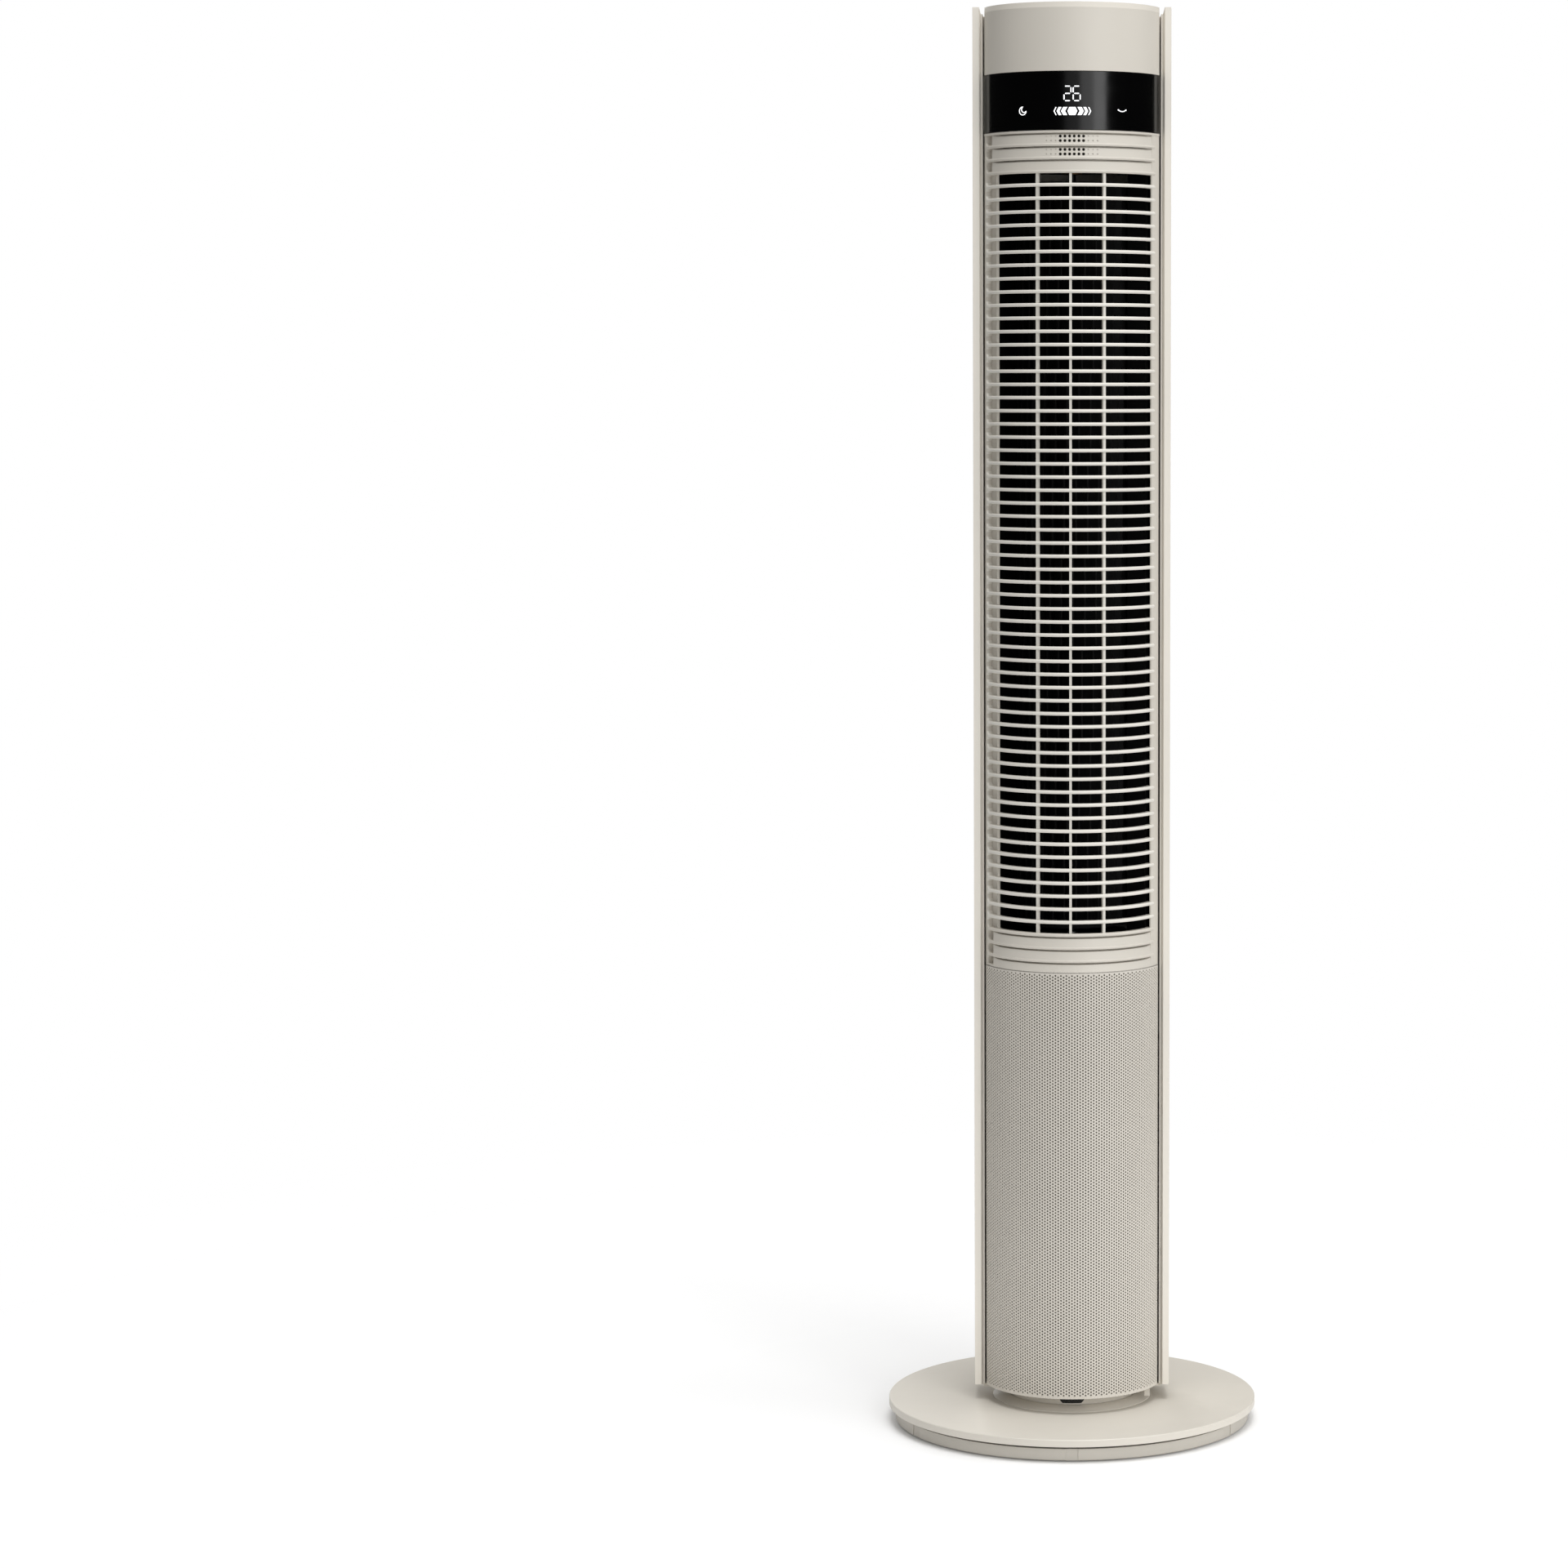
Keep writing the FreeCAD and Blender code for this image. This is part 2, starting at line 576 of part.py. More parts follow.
def gear_face(teeth, first_tooth_angle):
    """The outline of an involute gear whose teeth are thinned a little for backlash."""
    pressure_angle = math.radians(20)
    flank_points = 5
    module = d.gear_module.number
    pitch = teeth * module / 2
    base = pitch * math.cos(pressure_angle)
    tip = pitch + 0.95 * module
    root = pitch - 1.25 * module
    flank_start = max(base, root)
    half_tooth = math.pi / (2 * teeth) - d.tooth_thinning.number / (2 * pitch)
    at_pitch = math.tan(pressure_angle) - pressure_angle

    def half_angle(radius):
        roll = math.acos(min(1.0, base / radius))
        return half_tooth + at_pitch - (math.tan(roll) - roll)

    radii = [flank_start + (tip - flank_start) * i / (flank_points - 1) for i in range(flank_points)]
    flank = [(root, half_angle(flank_start))] + [(radius, half_angle(radius)) for radius in radii]
    points = []
    for tooth in range(teeth):
        middle = math.radians(first_tooth_angle) + 2 * math.pi * tooth / teeth
        rising = [(radius, middle - spread) for radius, spread in flank]
        falling = [(radius, middle + spread) for radius, spread in reversed(flank)]
        for radius, angle in rising + falling:
            points.append(FreeCAD.Vector(radius * math.cos(angle), radius * math.sin(angle), 0))
    return Part.Face(Part.makePolygon(points + points[:1]))


def gear_distance():
    return (d.gear_teeth + d.pinion_teeth) * d.gear_module / 2


def make_swing_drive():
    """Fixed gear on the base, and the stepper motor with its pinion on the tower's floor."""
    height = (d.gear_top - d.plate_top).number
    gear = gear_face(DIMENSIONS["gear_teeth"], 90).extrude(FreeCAD.Vector(0, 0, height))
    gear = gear.cut(Part.makeCylinder(d.gear_bore.number, height))
    hole_depth = height - 1
    for quarter in range(4):
        centre = polar_point(d.post_screw_circle.number, 90 * quarter)
        hole_radius = (d.post_screw_shank + d.screw_hole_clearance).number
        gear = gear.cut(Part.makeCylinder(hole_radius, hole_depth, centre))
    fixed = shaped("swing_gear", gear)
    place(fixed, z=d.plate_top)

    half_tooth_pitch = 180 / DIMENSIONS["pinion_teeth"]
    height = (d.gear_top - d.pinion_bottom).number
    pinion = gear_face(DIMENSIONS["pinion_teeth"], -90 + half_tooth_pitch)
    pinion = pinion.extrude(FreeCAD.Vector(0, 0, height))
    pinion = pinion.cut(Part.makeCylinder(d.pinion_shaft.number, height))
    walking = shaped("swing_pinion", pinion)
    place(walking, y=gear_distance(), z=d.pinion_bottom)

    centre = gear_distance()
    keep(cylinder(d.pinion_shaft, d.pinion_bottom, d.pinion_shaft_top, y=centre),
         "swing_motor_shaft")
    floor = d.floor_bottom + d.floor_thickness
    can = cylinder(d.swing_motor_radius, floor, d.swing_motor_top, y=centre)
    ears = block((-d.swing_ear_reach, centre - d.swing_ear_width / 2, floor),
                 (d.swing_ear_reach, centre + d.swing_ear_width / 2, floor + d.swing_ear_thickness))
    bore = cylinder(d.pinion_shaft + d.fit_clearance, floor, d.pinion_shaft_top + d.thrust_gap,
                    y=centre)
    hole = d.swing_screw_shank + d.screw_hole_clearance
    holes = [cylinder(hole, floor, floor + d.swing_ear_thickness, x=side * d.swing_screw_offset,
                      y=centre) for side in (-1, 1)]
    keep(cut(fuse(can, ears), fuse(bore, *holes)), "swing_motor")
    top = floor + d.swing_ear_thickness
    shank_end = d.floor_bottom + d.swing_screw_recess
    group("swing_motor_screws", [
        fuse(cylinder(d.swing_screw_shank, shank_end, top, side * d.swing_screw_offset, centre),
             cylinder(d.swing_screw_head, top, top + d.swing_screw_head_height,
                      side * d.swing_screw_offset, centre))
        for side in (-1, 1)])


# --------------------------------------------------------------------------- tower foot
def window_outline():
    """The receiver window: wide at the top, with its two lower corners cut."""
    half_top = d.window_top_width / 2
    half_bottom = d.window_bottom_width / 2
    corner = d.window_corner
    return [(-half_top, d.floor_bottom), (-half_bottom - corner / 2, d.window_bottom + corner),
            (-half_bottom + corner / 2, d.window_bottom), (half_bottom - corner / 2, d.window_bottom),
            (half_bottom + corner / 2, d.window_bottom + corner), (half_top, d.floor_bottom)]


def make_tower_foot():
    """Neck, floor plate and hub in one moulding, with the receiver window in the neck."""
    floor = d.floor_bottom + d.floor_thickness
    neck_bottom = d.plate_top + d.slide_ring_thickness + d.thrust_gap
    bore = d.post_radius + d.fit_clearance
    foot = turned("tower_foot", [
        (bore, d.hub_bottom),
        (d.hub_radius, d.hub_bottom),
        (d.hub_radius, d.floor_bottom),
        (d.neck_inner, d.floor_bottom),
        (d.neck_inner, neck_bottom),
        (d.neck_radius, neck_bottom),
        (d.neck_radius, d.floor_bottom),
        (d.floor_radius, d.floor_bottom),
        (d.floor_radius, floor),
        (d.hub_radius, floor),
        (d.hub_radius, d.hub_top),
        (bore, d.hub_top),
    ])
    cut_disc(foot, 0, gear_distance(), d.swing_shaft_hole, d.floor_bottom, floor)
    for side in (-1, 1):
        cut_disc(foot, side * d.swing_screw_offset, gear_distance(),
                 d.swing_screw_shank + d.screw_hole_clearance, d.floor_bottom, floor)
    for place_x, place_y in HOUSING_BOSSES:
        cut_disc(foot, place_x, place_y, d.frame_screw_shank + d.screw_hole_clearance,
                 d.floor_bottom, floor)
    for side in (-1, 1):
        sketch = new_sketch(foot, "XY_Plane", d.floor_bottom)
        draw_polygon(sketch, side_rectangle(side, d.floor_half_width, d.tower_radius,
                                            -d.tower_radius, d.tower_radius))
        pocket(foot, sketch, d.floor_thickness)
    sketch = new_sketch(foot, "XZ_Plane", d.neck_inner - 1)
    draw_polygon(sketch, window_outline())
    pocket(foot, sketch, d.neck_radius - d.neck_inner + 2)
    for side in (-1, 1):
        for reach, high in ((d.floor_half_width, d.floor_bottom), (d.rail_inner, d.tab_top)):
            left, right = side_span(side, d.tab_inner, reach)
            block_pad(foot, left, -d.tab_half_depth, right, d.tab_half_depth, d.tab_bottom, high)
    block_pad(foot, d.lug_reach, d.lug_front, d.lug_reach + d.lug_width,
              d.lug_front + d.lug_depth, d.lug_bottom, d.floor_bottom)
    document.recompute()

    insert = document.addObject("PartDesign::Body", "window_blank")
    sketch = new_sketch(insert, "XZ_Plane", d.neck_inner)
    draw_polygon(sketch, window_outline())
    extrude(insert, sketch, d.window_depth)
    keep(common(insert, cylinder(d.neck_radius + d.window_proud, d.window_bottom, d.floor_bottom)),
         "receiver_window")


# --------------------------------------------------------------------------- tower shell
def shell(radius, half_width, wall, low, high):
    """A tube with flat left and right sides and an even wall."""
    outer = flat_sided(radius, half_width, low, high)
    return cut(outer, flat_sided(radius - wall, half_width - wall, low, high))


def make_rear_housing():
    """The rear half of the tower's skin, with the intake window and the rail screw holes."""
    skin = shell(d.tower_radius, d.flat_half_width, d.shell_wall, d.tower_bottom,
                 d.cap_bottom - d.seam)
    front = block((-d.tower_radius, -d.tower_radius, d.tower_bottom),
                  (d.tower_radius, d.housing_front, d.cap_bottom))
    window = block((-d.intake_half_width, 0, d.intake_bottom),
                   (d.intake_half_width, d.tower_radius, d.intake_top))
    hole = d.rail_screw_shank + d.screw_hole_clearance
    holes = [level_cylinder(hole, -d.tower_radius, d.tower_radius, "x", d.rail_screw_y, height)
             for height in rail_screw_heights()]
    bosses, threads = [], []
    thread = d.frame_screw_shank + d.fit_clearance
    for low, high in boss_levels():
        bosses += [cylinder(d.housing_boss_radius, low, high, x, y) for x, y in HOUSING_BOSSES]
        threads += [cylinder(thread, low, high, x, y) for x, y in HOUSING_BOSSES]
    inside = flat_sided(d.tower_radius, d.flat_half_width, d.tower_bottom, d.cap_bottom)
    body = fuse(skin, common(fuse(*bosses), inside))
    keep(cut(body, fuse(front, window, *holes, *threads)), "rear_housing")


def boss_levels():
    """Heights of the screw bosses: on the floor, under the lower bulkhead, over the upper one."""
    floor = d.floor_bottom + d.floor_thickness
    over = d.upper_bulkhead_bottom + d.bulkhead_thickness
    return [(floor, floor + d.housing_boss_height),
            (d.lower_bulkhead_bottom - d.housing_boss_height, d.lower_bulkhead_bottom),
            (over, over + d.housing_boss_height)]


def frame_screw(x, y, seat, up):
    """A screw whose head sits on a face at height seat and whose shank points up or down."""
    if up:
        head = cylinder(d.frame_screw_head, seat - d.frame_screw_head_height, seat, x, y)
        shank = cylinder(d.frame_screw_shank, seat, seat + d.frame_screw_reach, x, y)
    else:
        head = cylinder(d.frame_screw_head, seat, seat + d.frame_screw_head_height, x, y)
        shank = cylinder(d.frame_screw_shank, seat - d.frame_screw_reach, seat, x, y)
    return fuse(head, shank)


def make_frame_screws():
    """Screws that hold the tower foot and both bulkheads to the rear housing."""
    group("foot_screws", [frame_screw(x, y, d.floor_bottom, True) for x, y in HOUSING_BOSSES])
    over = d.lower_bulkhead_bottom + d.bulkhead_thickness
    group("bulkhead_screws", [frame_screw(x, y, over, False) for x, y in HOUSING_BOSSES]
          + [frame_screw(x, y, d.upper_bulkhead_bottom, True) for x, y in HOUSING_BOSSES])


def rail_screw_heights():
    return [d.rail_screw_first + d.rail_screw_pitch * step
            for step in range(DIMENSIONS["rail_screw_count"])]


def make_side_rail(label, side):
    """One flat vertical rail with its inner lip, grooves and sloped top corner.

    A web behind the lip meets the housing's flat side, so the gap in front of it is a closed groove.
    """
    groove_x = d.rail_inner + d.rail_groove_width
    groove_y = d.rail_half_depth - d.rail_groove_depth
    half = [
        (d.rail_outer, d.rail_half_depth),
        (groove_x, d.rail_half_depth),
        (d.rail_inner, groove_y),
        (d.rail_inner, d.rail_lip_half_depth),
        (d.rail_lip_inner, d.rail_lip_half_depth),
    ]
    web = [
        (d.flat_half_width, d.rail_lip_half_depth),
        (d.flat_half_width, d.rail_web_front),
        (d.rail_lip_inner, d.rail_web_front),
    ]
    outline = half + web + [(x, -y) for x, y in reversed(half)]
    profile = document.addObject("PartDesign::Body", label + "_profile")
    sketch = new_sketch(profile, "XY_Plane", d.rail_bottom)
    draw_polygon(sketch, [(side * x, y) for x, y in outline])
    extrude(profile, sketch, d.tower_top - d.rail_bottom)
    corner = document.addObject("PartDesign::Body", label + "_corner")
    sketch = new_sketch(corner, "XZ_Plane", -d.tower_radius)
    reach = d.rail_inner + d.rail_top_cut_width
    draw_polygon(sketch, [(side * x, z) for x, z in (
        (d.flat_half_width - 1, d.tower_top - d.rail_top_cut_height),
        (d.rail_inner, d.tower_top - d.rail_top_cut_height),
        (reach, d.tower_top + 1),
        (d.flat_half_width - 1, d.tower_top + 1))])
    extrude(corner, sketch, 2 * d.tower_radius)
    hole_span = side_span(side, d.flat_half_width, d.rail_screw_end)
    hole = d.rail_screw_shank + d.fit_clearance
    holes = [level_cylinder(hole, *hole_span, "x", d.rail_screw_y, height)
             for height in rail_screw_heights()]
    keep(cut(profile, fuse(corner, *holes)), label)


def make_rail_screws():
    """Screws from inside the housing into both rails."""
    wall = d.flat_half_width - d.shell_wall
    screws = []
    for side in (-1, 1):
        for height in rail_screw_heights():
            shank_span = side_span(side, wall, d.rail_screw_end)
            head_span = side_span(side, wall - d.rail_screw_head_height, wall)
            shank = level_cylinder(d.rail_screw_shank, *shank_span, "x", d.rail_screw_y, height)
            head = level_cylinder(d.rail_screw_head, *head_span, "x", d.rail_screw_y, height)
            screws.append(fuse(shank, head))
    group("rail_screws", screws)


def arc_outline(outer, inner, low, high):
    return [(inner, low), (outer, low), (outer, high), (inner, high)]


def make_front_panels():
    """Lower panel and display window: plain arcs of the tower's front."""
    turned("lower_panel", arc_outline(d.tower_radius, d.tower_radius - d.panel_thickness,
                                      d.tower_bottom, d.panel_top), angle=2 * d.front_half_angle)
    outer = d.tower_radius + d.display_proud
    turned("display_window", arc_outline(outer, outer - d.display_thickness, d.display_bottom,
                                         d.display_top), angle=2 * d.grille_half_angle)


def groove(body, low, high, floor_radius):
    """Cuts a ring-shaped recess into the front of the grille."""
    sketch = new_sketch(body, "YZ_Plane")
    draw_polygon(sketch, rectangle(-d.tower_radius - 1, low, -floor_radius, high))
    return revolve(body, sketch, "PartDesign::Groove")


def make_front_grille():
    """The outlet grille: curved slats in front of a recessed wall with four open columns."""
    body = turned("front_grille", arc_outline(d.tower_radius, d.grille_inner, d.grille_bottom,
                                              d.grille_top), angle=2 * d.grille_half_angle)
    half_slat = d.slat_height / 2
    low = d.lowest_open_slat + half_slat
    high = d.lowest_open_slat + d.slat_pitch - half_slat
    recess = groove(body, low, high, d.recess_radius)
    stack(body, [recess], d.slat_pitch, d.open_rows)
    sketch = new_sketch(body, "XZ_Plane")
    half_rib = d.rib_width / 2
    edges = [d.opening_left, -d.rib_offset - half_rib, -d.rib_offset + half_rib, -half_rib,
             half_rib, d.rib_offset - half_rib, d.rib_offset + half_rib, d.opening_right]
    for left, right in zip(edges[::2], edges[1::2]):
        draw_polygon(sketch, rectangle(left, low, right, high))
    window = pocket(body, sketch, d.tower_radius + 1)
    stack(body, [window], d.slat_pitch, d.open_rows)
    top_slat = d.lowest_open_slat + d.slat_pitch * d.open_rows
    line_top = top_slat + d.slat_pitch - half_slat
    line = groove(body, line_top - d.closed_groove, line_top, d.recess_radius)
    stack(body, [line], d.slat_pitch, d.closed_rows_above)
    line_top = d.lowest_open_slat - half_slat
    line = groove(body, line_top - d.slat_pitch * d.closed_rows_below - d.closed_groove,
                  line_top - d.slat_pitch * d.closed_rows_below, d.recess_radius)
    stack(body, [line], d.slat_pitch, d.closed_rows_below + 1)
    vents = new_sketch(body, "XZ_Plane")
    row_top = top_slat + 3 * d.slat_pitch
    for drop in VENT_ROWS:
        for column in range(DIMENSIONS["vent_columns"]):
            across = (column - (DIMENSIONS["vent_columns"] - 1) / 2) * d.vent_pitch
            draw_circle(vents, across, row_top - d.vent_pitch * drop, d.vent_radius)
    pocket(body, vents, d.tower_radius + 1)


def make_top_cap():
    """The cap over the whole tower, bevelled round its roof."""
    bevel = d.tower_top - d.cap_bevel_height
    cone = document.addObject("Part::Cone", "bevel")
    bind(cone, Radius1=d.tower_radius, Radius2=d.tower_radius - d.cap_bevel_inset,
         Height=d.cap_bevel_height)
    place(cone, z=bevel)
    width = block((-d.flat_half_width, -d.tower_radius, d.cap_bottom),
                  (d.flat_half_width, d.tower_radius, d.tower_top))
    outer = common(fuse(cylinder(d.tower_radius, d.cap_bottom, bevel), cone), width)
    inner = flat_sided(d.tower_radius - d.shell_wall, d.flat_half_width - d.shell_wall,
                       d.cap_bottom, d.tower_top - d.cap_roof)
    keep(cut(outer, inner), "top_cap")


def make_rear_grille():
    """The intake grille that fills the window in the back."""
    low = d.intake_bottom + d.seam
    high = d.intake_top - d.seam
    half_width = d.intake_half_width - d.seam
    body = new_body("rear_grille")
    sketch = new_sketch(body, "YZ_Plane")
    inner = d.tower_radius - d.intake_thickness
    draw_polygon(sketch, rectangle(inner, low, d.tower_radius, high))
    revolve(body, sketch, angle=120)
    sketch = new_sketch(body, "XZ_Plane")
    for side in (-1, 1):
        draw_polygon(sketch, side_rectangle(side, half_width, d.tower_radius, low, high))
    pocket(body, sketch, d.tower_radius + 1, along_normal=False)
    sketch = new_sketch(body, "XZ_Plane")
    first = low + d.intake_border
    edge = half_width - d.intake_border
    half_rib = d.intake_rib_width / 2
    ribs = [d.intake_rib_pitch * step for step in (-2, -1, 0, 1, 2)]
    lefts = [-edge] + [rib + half_rib for rib in ribs]
    rights = [rib - half_rib for rib in ribs] + [edge]
    for left, right in zip(lefts, rights):
        draw_polygon(sketch, rectangle(left, first, right, first + d.intake_slot))
    slot = pocket(body, sketch, d.tower_radius + 1, along_normal=False)
    stack(body, [slot], d.intake_pitch, d.intake_rows)


# --------------------------------------------------------------------------- blower
def make_bulkheads():
    """The two floors that close the air duct; they carry the motor and the upper bearing."""
    notch = d.harness_radius + d.duct_gap
    for label, low, hole in (
            ("lower_bulkhead", d.lower_bulkhead_bottom, d.hub_boss + d.hub_clearance),
            ("upper_bulkhead", d.upper_bulkhead_bottom, d.bearing_rubber_radius)):
        high = low + d.bulkhead_thickness
        tools = [cylinder(hole, low, high, y=d.blower_y),
                 cylinder(notch, low, high, x=d.harness_x, y=d.harness_y)]
        tools += [cylinder(d.frame_screw_shank + d.screw_hole_clearance, low, high, x, y)
                  for x, y in HOUSING_BOSSES]
        if label == "lower_bulkhead":
            tools += motor_screw_cylinders(d.motor_screw_shank + d.screw_hole_clearance, low, high)
        plate = flat_sided(d.bulkhead_radius, d.bulkhead_radius - d.duct_gap, low, high)
        keep(cut(plate, fuse(*tools)), label)


def motor_screw_cylinders(radius, low, high):
    """One cylinder at each motor screw, evenly round the blower's axis."""
    count = DIMENSIONS["motor_screw_count"]
    result = []
    for step in range(count):
        spot = polar_point(1.0, 30 + 360 * step / count)
        result.append(cylinder(radius, low, high, x=d.damper_circle * spot.x,
                               y=d.blower_y + d.damper_circle * spot.y))
    return result


def wall_between(label, outline):
    """A thin wall standing between the two bulkheads."""
    low = d.lower_bulkhead_bottom + d.bulkhead_thickness + d.duct_gap
    high = d.upper_bulkhead_bottom - d.duct_gap
    body = new_body(label)
    sketch = new_sketch(body, "XY_Plane", low)
    draw_polygon(sketch, outline)
    extrude(body, sketch, high - low)


def make_duct():
    """The scroll on the left, which opens towards the outlet, and the vortex wall on the right."""
    steps = 12
    sweep = DIMENSIONS["scroll_end_angle"] - DIMENSIONS["scroll_start_angle"]
    growth = (d.scroll_end_radius - d.scroll_start_radius) / steps
    inner, outer = [], []
    for step in range(steps + 1):
        spot = polar_point(1.0, DIMENSIONS["scroll_start_angle"] + sweep * step / steps)
        radius = d.scroll_start_radius + growth * step
        inner.append((radius * spot.x, d.blower_y + radius * spot.y))
        outer.append(((radius + d.scroll_wall) * spot.x,
                      d.blower_y + (radius + d.scroll_wall) * spot.y))
    wall_between("scroll_wall", inner + outer[::-1])
    wall_between("vortex_wall", VORTEX_OUTLINE)


def make_impeller():
    """Eight bladed segments between a driven hub disc and an end disc with a stub shaft."""
    outer = d.impeller_radius.number
    root = outer - d.blade_depth.number
    lean = math.radians(d.blade_lean.number)
    half = d.blade_thickness.number / 2
    middle = (outer + root) / 2
    disc = d.segment_disc.number
    height = d.segment_height.number
    line = [(root, 0.0), (middle, lean * d.blade_bend.number), (outer - half, lean)]
    turn = [FreeCAD.Vector(r * math.cos(a), r * math.sin(a), disc) for r, a in line]
    side = [FreeCAD.Vector(-math.sin(a), math.cos(a), 0) * half for _, a in line]
    corners = [p + s for p, s in zip(turn, side)] + [p - s for p, s in zip(turn[::-1], side[::-1])]
    blade = Part.Face(Part.makePolygon(corners + corners[:1]))
    blade = blade.extrude(FreeCAD.Vector(0, 0, height - disc))
    plate = Part.makeCylinder(outer, disc).cut(Part.makeCylinder(d.segment_bore.number, disc))
    blades = []
    count = DIMENSIONS["blade_count"]
    for step in range(count):
        copy = blade.copy()
        copy.rotate(FreeCAD.Vector(), FreeCAD.Vector(0, 0, 1), 360 * step / count)
        blades.append(copy)
    segment = plate.fuse(blades).removeSplitter()
    segments = []
    for step in range(DIMENSIONS["segment_count"]):
        copy = segment.copy()
        copy.rotate(FreeCAD.Vector(), FreeCAD.Vector(0, 0, 1), d.segment_stagger.number * step)
        copy.translate(FreeCAD.Vector(0, 0, height * step))
        segments.append(copy)
    rotor = shaped("impeller_segments", Part.makeCompound(segments))
    place(rotor, y=d.blower_y, z=d.impeller_bottom)

    top = d.impeller_bottom + d.segment_height * d.segment_count
    hub = turned("impeller_hub", [
        (d.motor_shaft, d.hub_boss_bottom),
        (d.hub_boss, d.hub_boss_bottom),
        (d.hub_boss, d.impeller_bottom - d.end_disc),
        (d.impeller_radius, d.impeller_bottom - d.end_disc),
        (d.impeller_radius, d.impeller_bottom),
        (d.motor_shaft, d.impeller_bottom),
    ])
    place(hub, y=d.blower_y)
    end = turned("impeller_end_disc", [
        (d.stub_radius, top),
        (d.impeller_radius, top),
        (d.impeller_radius, top + d.end_disc),
        (d.stub_radius, top + d.end_disc),
    ])
    place(end, y=d.blower_y)
    keep(cylinder(d.stub_radius, top, d.stub_top, y=d.blower_y), "stub_shaft")
    keep(cylinder(d.motor_shaft, d.motor_shaft_bottom, d.impeller_bottom, y=d.blower_y),
         "motor_shaft")
    keep(level_cylinder(d.set_screw_radius, d.hub_boss, d.hub_boss + d.set_screw_length, "x",
                        d.blower_y, d.set_screw_height), "hub_set_screw")


def make_upper_bearing():
    """Self-aligning bush in a rubber ring, held in the upper bulkhead."""
    low = d.upper_bulkhead_bottom
    high = low + d.bulkhead_thickness
    ring("bearing_rubber", d.bearing_rubber_radius, d.bush_radius, low, high, y=d.blower_y)
    centre = (low + high) / 2
    ring("bearing_bush", d.bush_radius, d.stub_radius + d.fit_clearance, centre - d.bush_height / 2,
         centre + d.bush_height / 2, y=d.blower_y)


def make_motor():
    """The blower motor: can, stator and rotor, hung from the lower bulkhead on rubber dampers."""
    wall = d.motor_wall
    bore = d.motor_shaft + d.fit_clearance
    inner = d.motor_radius - wall
    can = turned("motor_can", [
        (bore, d.motor_bottom),
        (d.motor_radius, d.motor_bottom),
        (d.motor_radius, d.motor_top),
        (bore, d.motor_top),
        (bore, d.motor_top - wall),
        (inner, d.motor_top - wall),
        (inner, d.motor_bottom + wall),
        (bore, d.motor_bottom + wall),
    ])
    place(can, y=d.blower_y)
    PARTS.remove(can)
    can.Label = "motor_can_blank"
    holes = motor_screw_cylinders(d.motor_screw_shank + d.screw_hole_clearance,
                                  d.motor_top - wall, d.motor_top)
    keep(cut(can, fuse(*holes)), "motor_can")
    ring("motor_stator", inner - d.stator_gap, d.stator_bore, d.stator_bottom, d.stator_top,
         y=d.blower_y)
    ring("motor_rotor", d.rotor_radius, d.motor_shaft, d.rotor_bottom, d.rotor_top, y=d.blower_y)
    under = d.lower_bulkhead_bottom
    over = under + d.bulkhead_thickness
    sleeves = zip(motor_screw_cylinders(d.damper_radius, d.motor_top, under),
                  motor_screw_cylinders(d.motor_screw_shank + d.screw_hole_clearance, d.motor_top,
                                        under))
    group("motor_dampers", [cut(sleeve, hole) for sleeve, hole in sleeves])
    heads = motor_screw_cylinders(d.motor_screw_head, over, over + d.motor_screw_head_height)
    shanks = motor_screw_cylinders(d.motor_screw_shank, d.motor_top - d.motor_screw_reach, over)
    group("motor_screws", [fuse(head, shank) for head, shank in zip(heads, shanks)])


# --------------------------------------------------------------------------- electronics
def board_block(sizes, front, edge):
    """A box-shaped part standing on the front of a board."""
    left, right, reach, low, high = sizes
    return block((left, front - reach, edge + low), (right, front, edge + high))


def make_power_board():
    """The mains board in the lower tower, with its larger components, standoffs and screws."""
    half = d.power_board_width / 2
    front = d.power_board_y
    back = front + d.board_thickness
    top = d.power_board_bottom + d.power_board_height
    inset = d.board_screw_inset
    spots = [(side * (half - inset), height) for side in (-1, 1)
             for height in (d.power_board_bottom + inset, top - inset)]
    hole = d.board_screw_shank + d.screw_hole_clearance
    board = block((-half, front, d.power_board_bottom), (half, back, top))
    holes = [level_cylinder(hole, front, back, "y", x, z) for x, z in spots]
    keep(cut(board, fuse(*holes)), "power_board")
    standoffs = []
    for x, z in spots:
        post = level_cylinder(d.standoff_radius, back, back + d.standoff_length, "y", x, z)
        thread = level_cylinder(hole, back, back + d.standoff_length / 2, "y", x, z)
        standoffs.append(cut(post, thread))
    group("board_standoffs", standoffs)
    group("board_screws", [
        fuse(level_cylinder(d.board_screw_shank * 2, front - d.board_screw_shank, front, "y", x, z),
             level_cylinder(d.board_screw_shank, front, back + d.standoff_length / 2, "y", x, z))
        for x, z in spots])
    edge = d.power_board_bottom
    blocks = [board_block(sizes, front, edge) for sizes in BOARD_BLOCKS.values()]
    capacitors = [level_cylinder(CAPACITORS["radius"], front - CAPACITORS["length"], front, "y", x,
                                 edge + CAPACITORS["height"]) for x in CAPACITORS["places"]]
    group("power_components", blocks + capacitors)


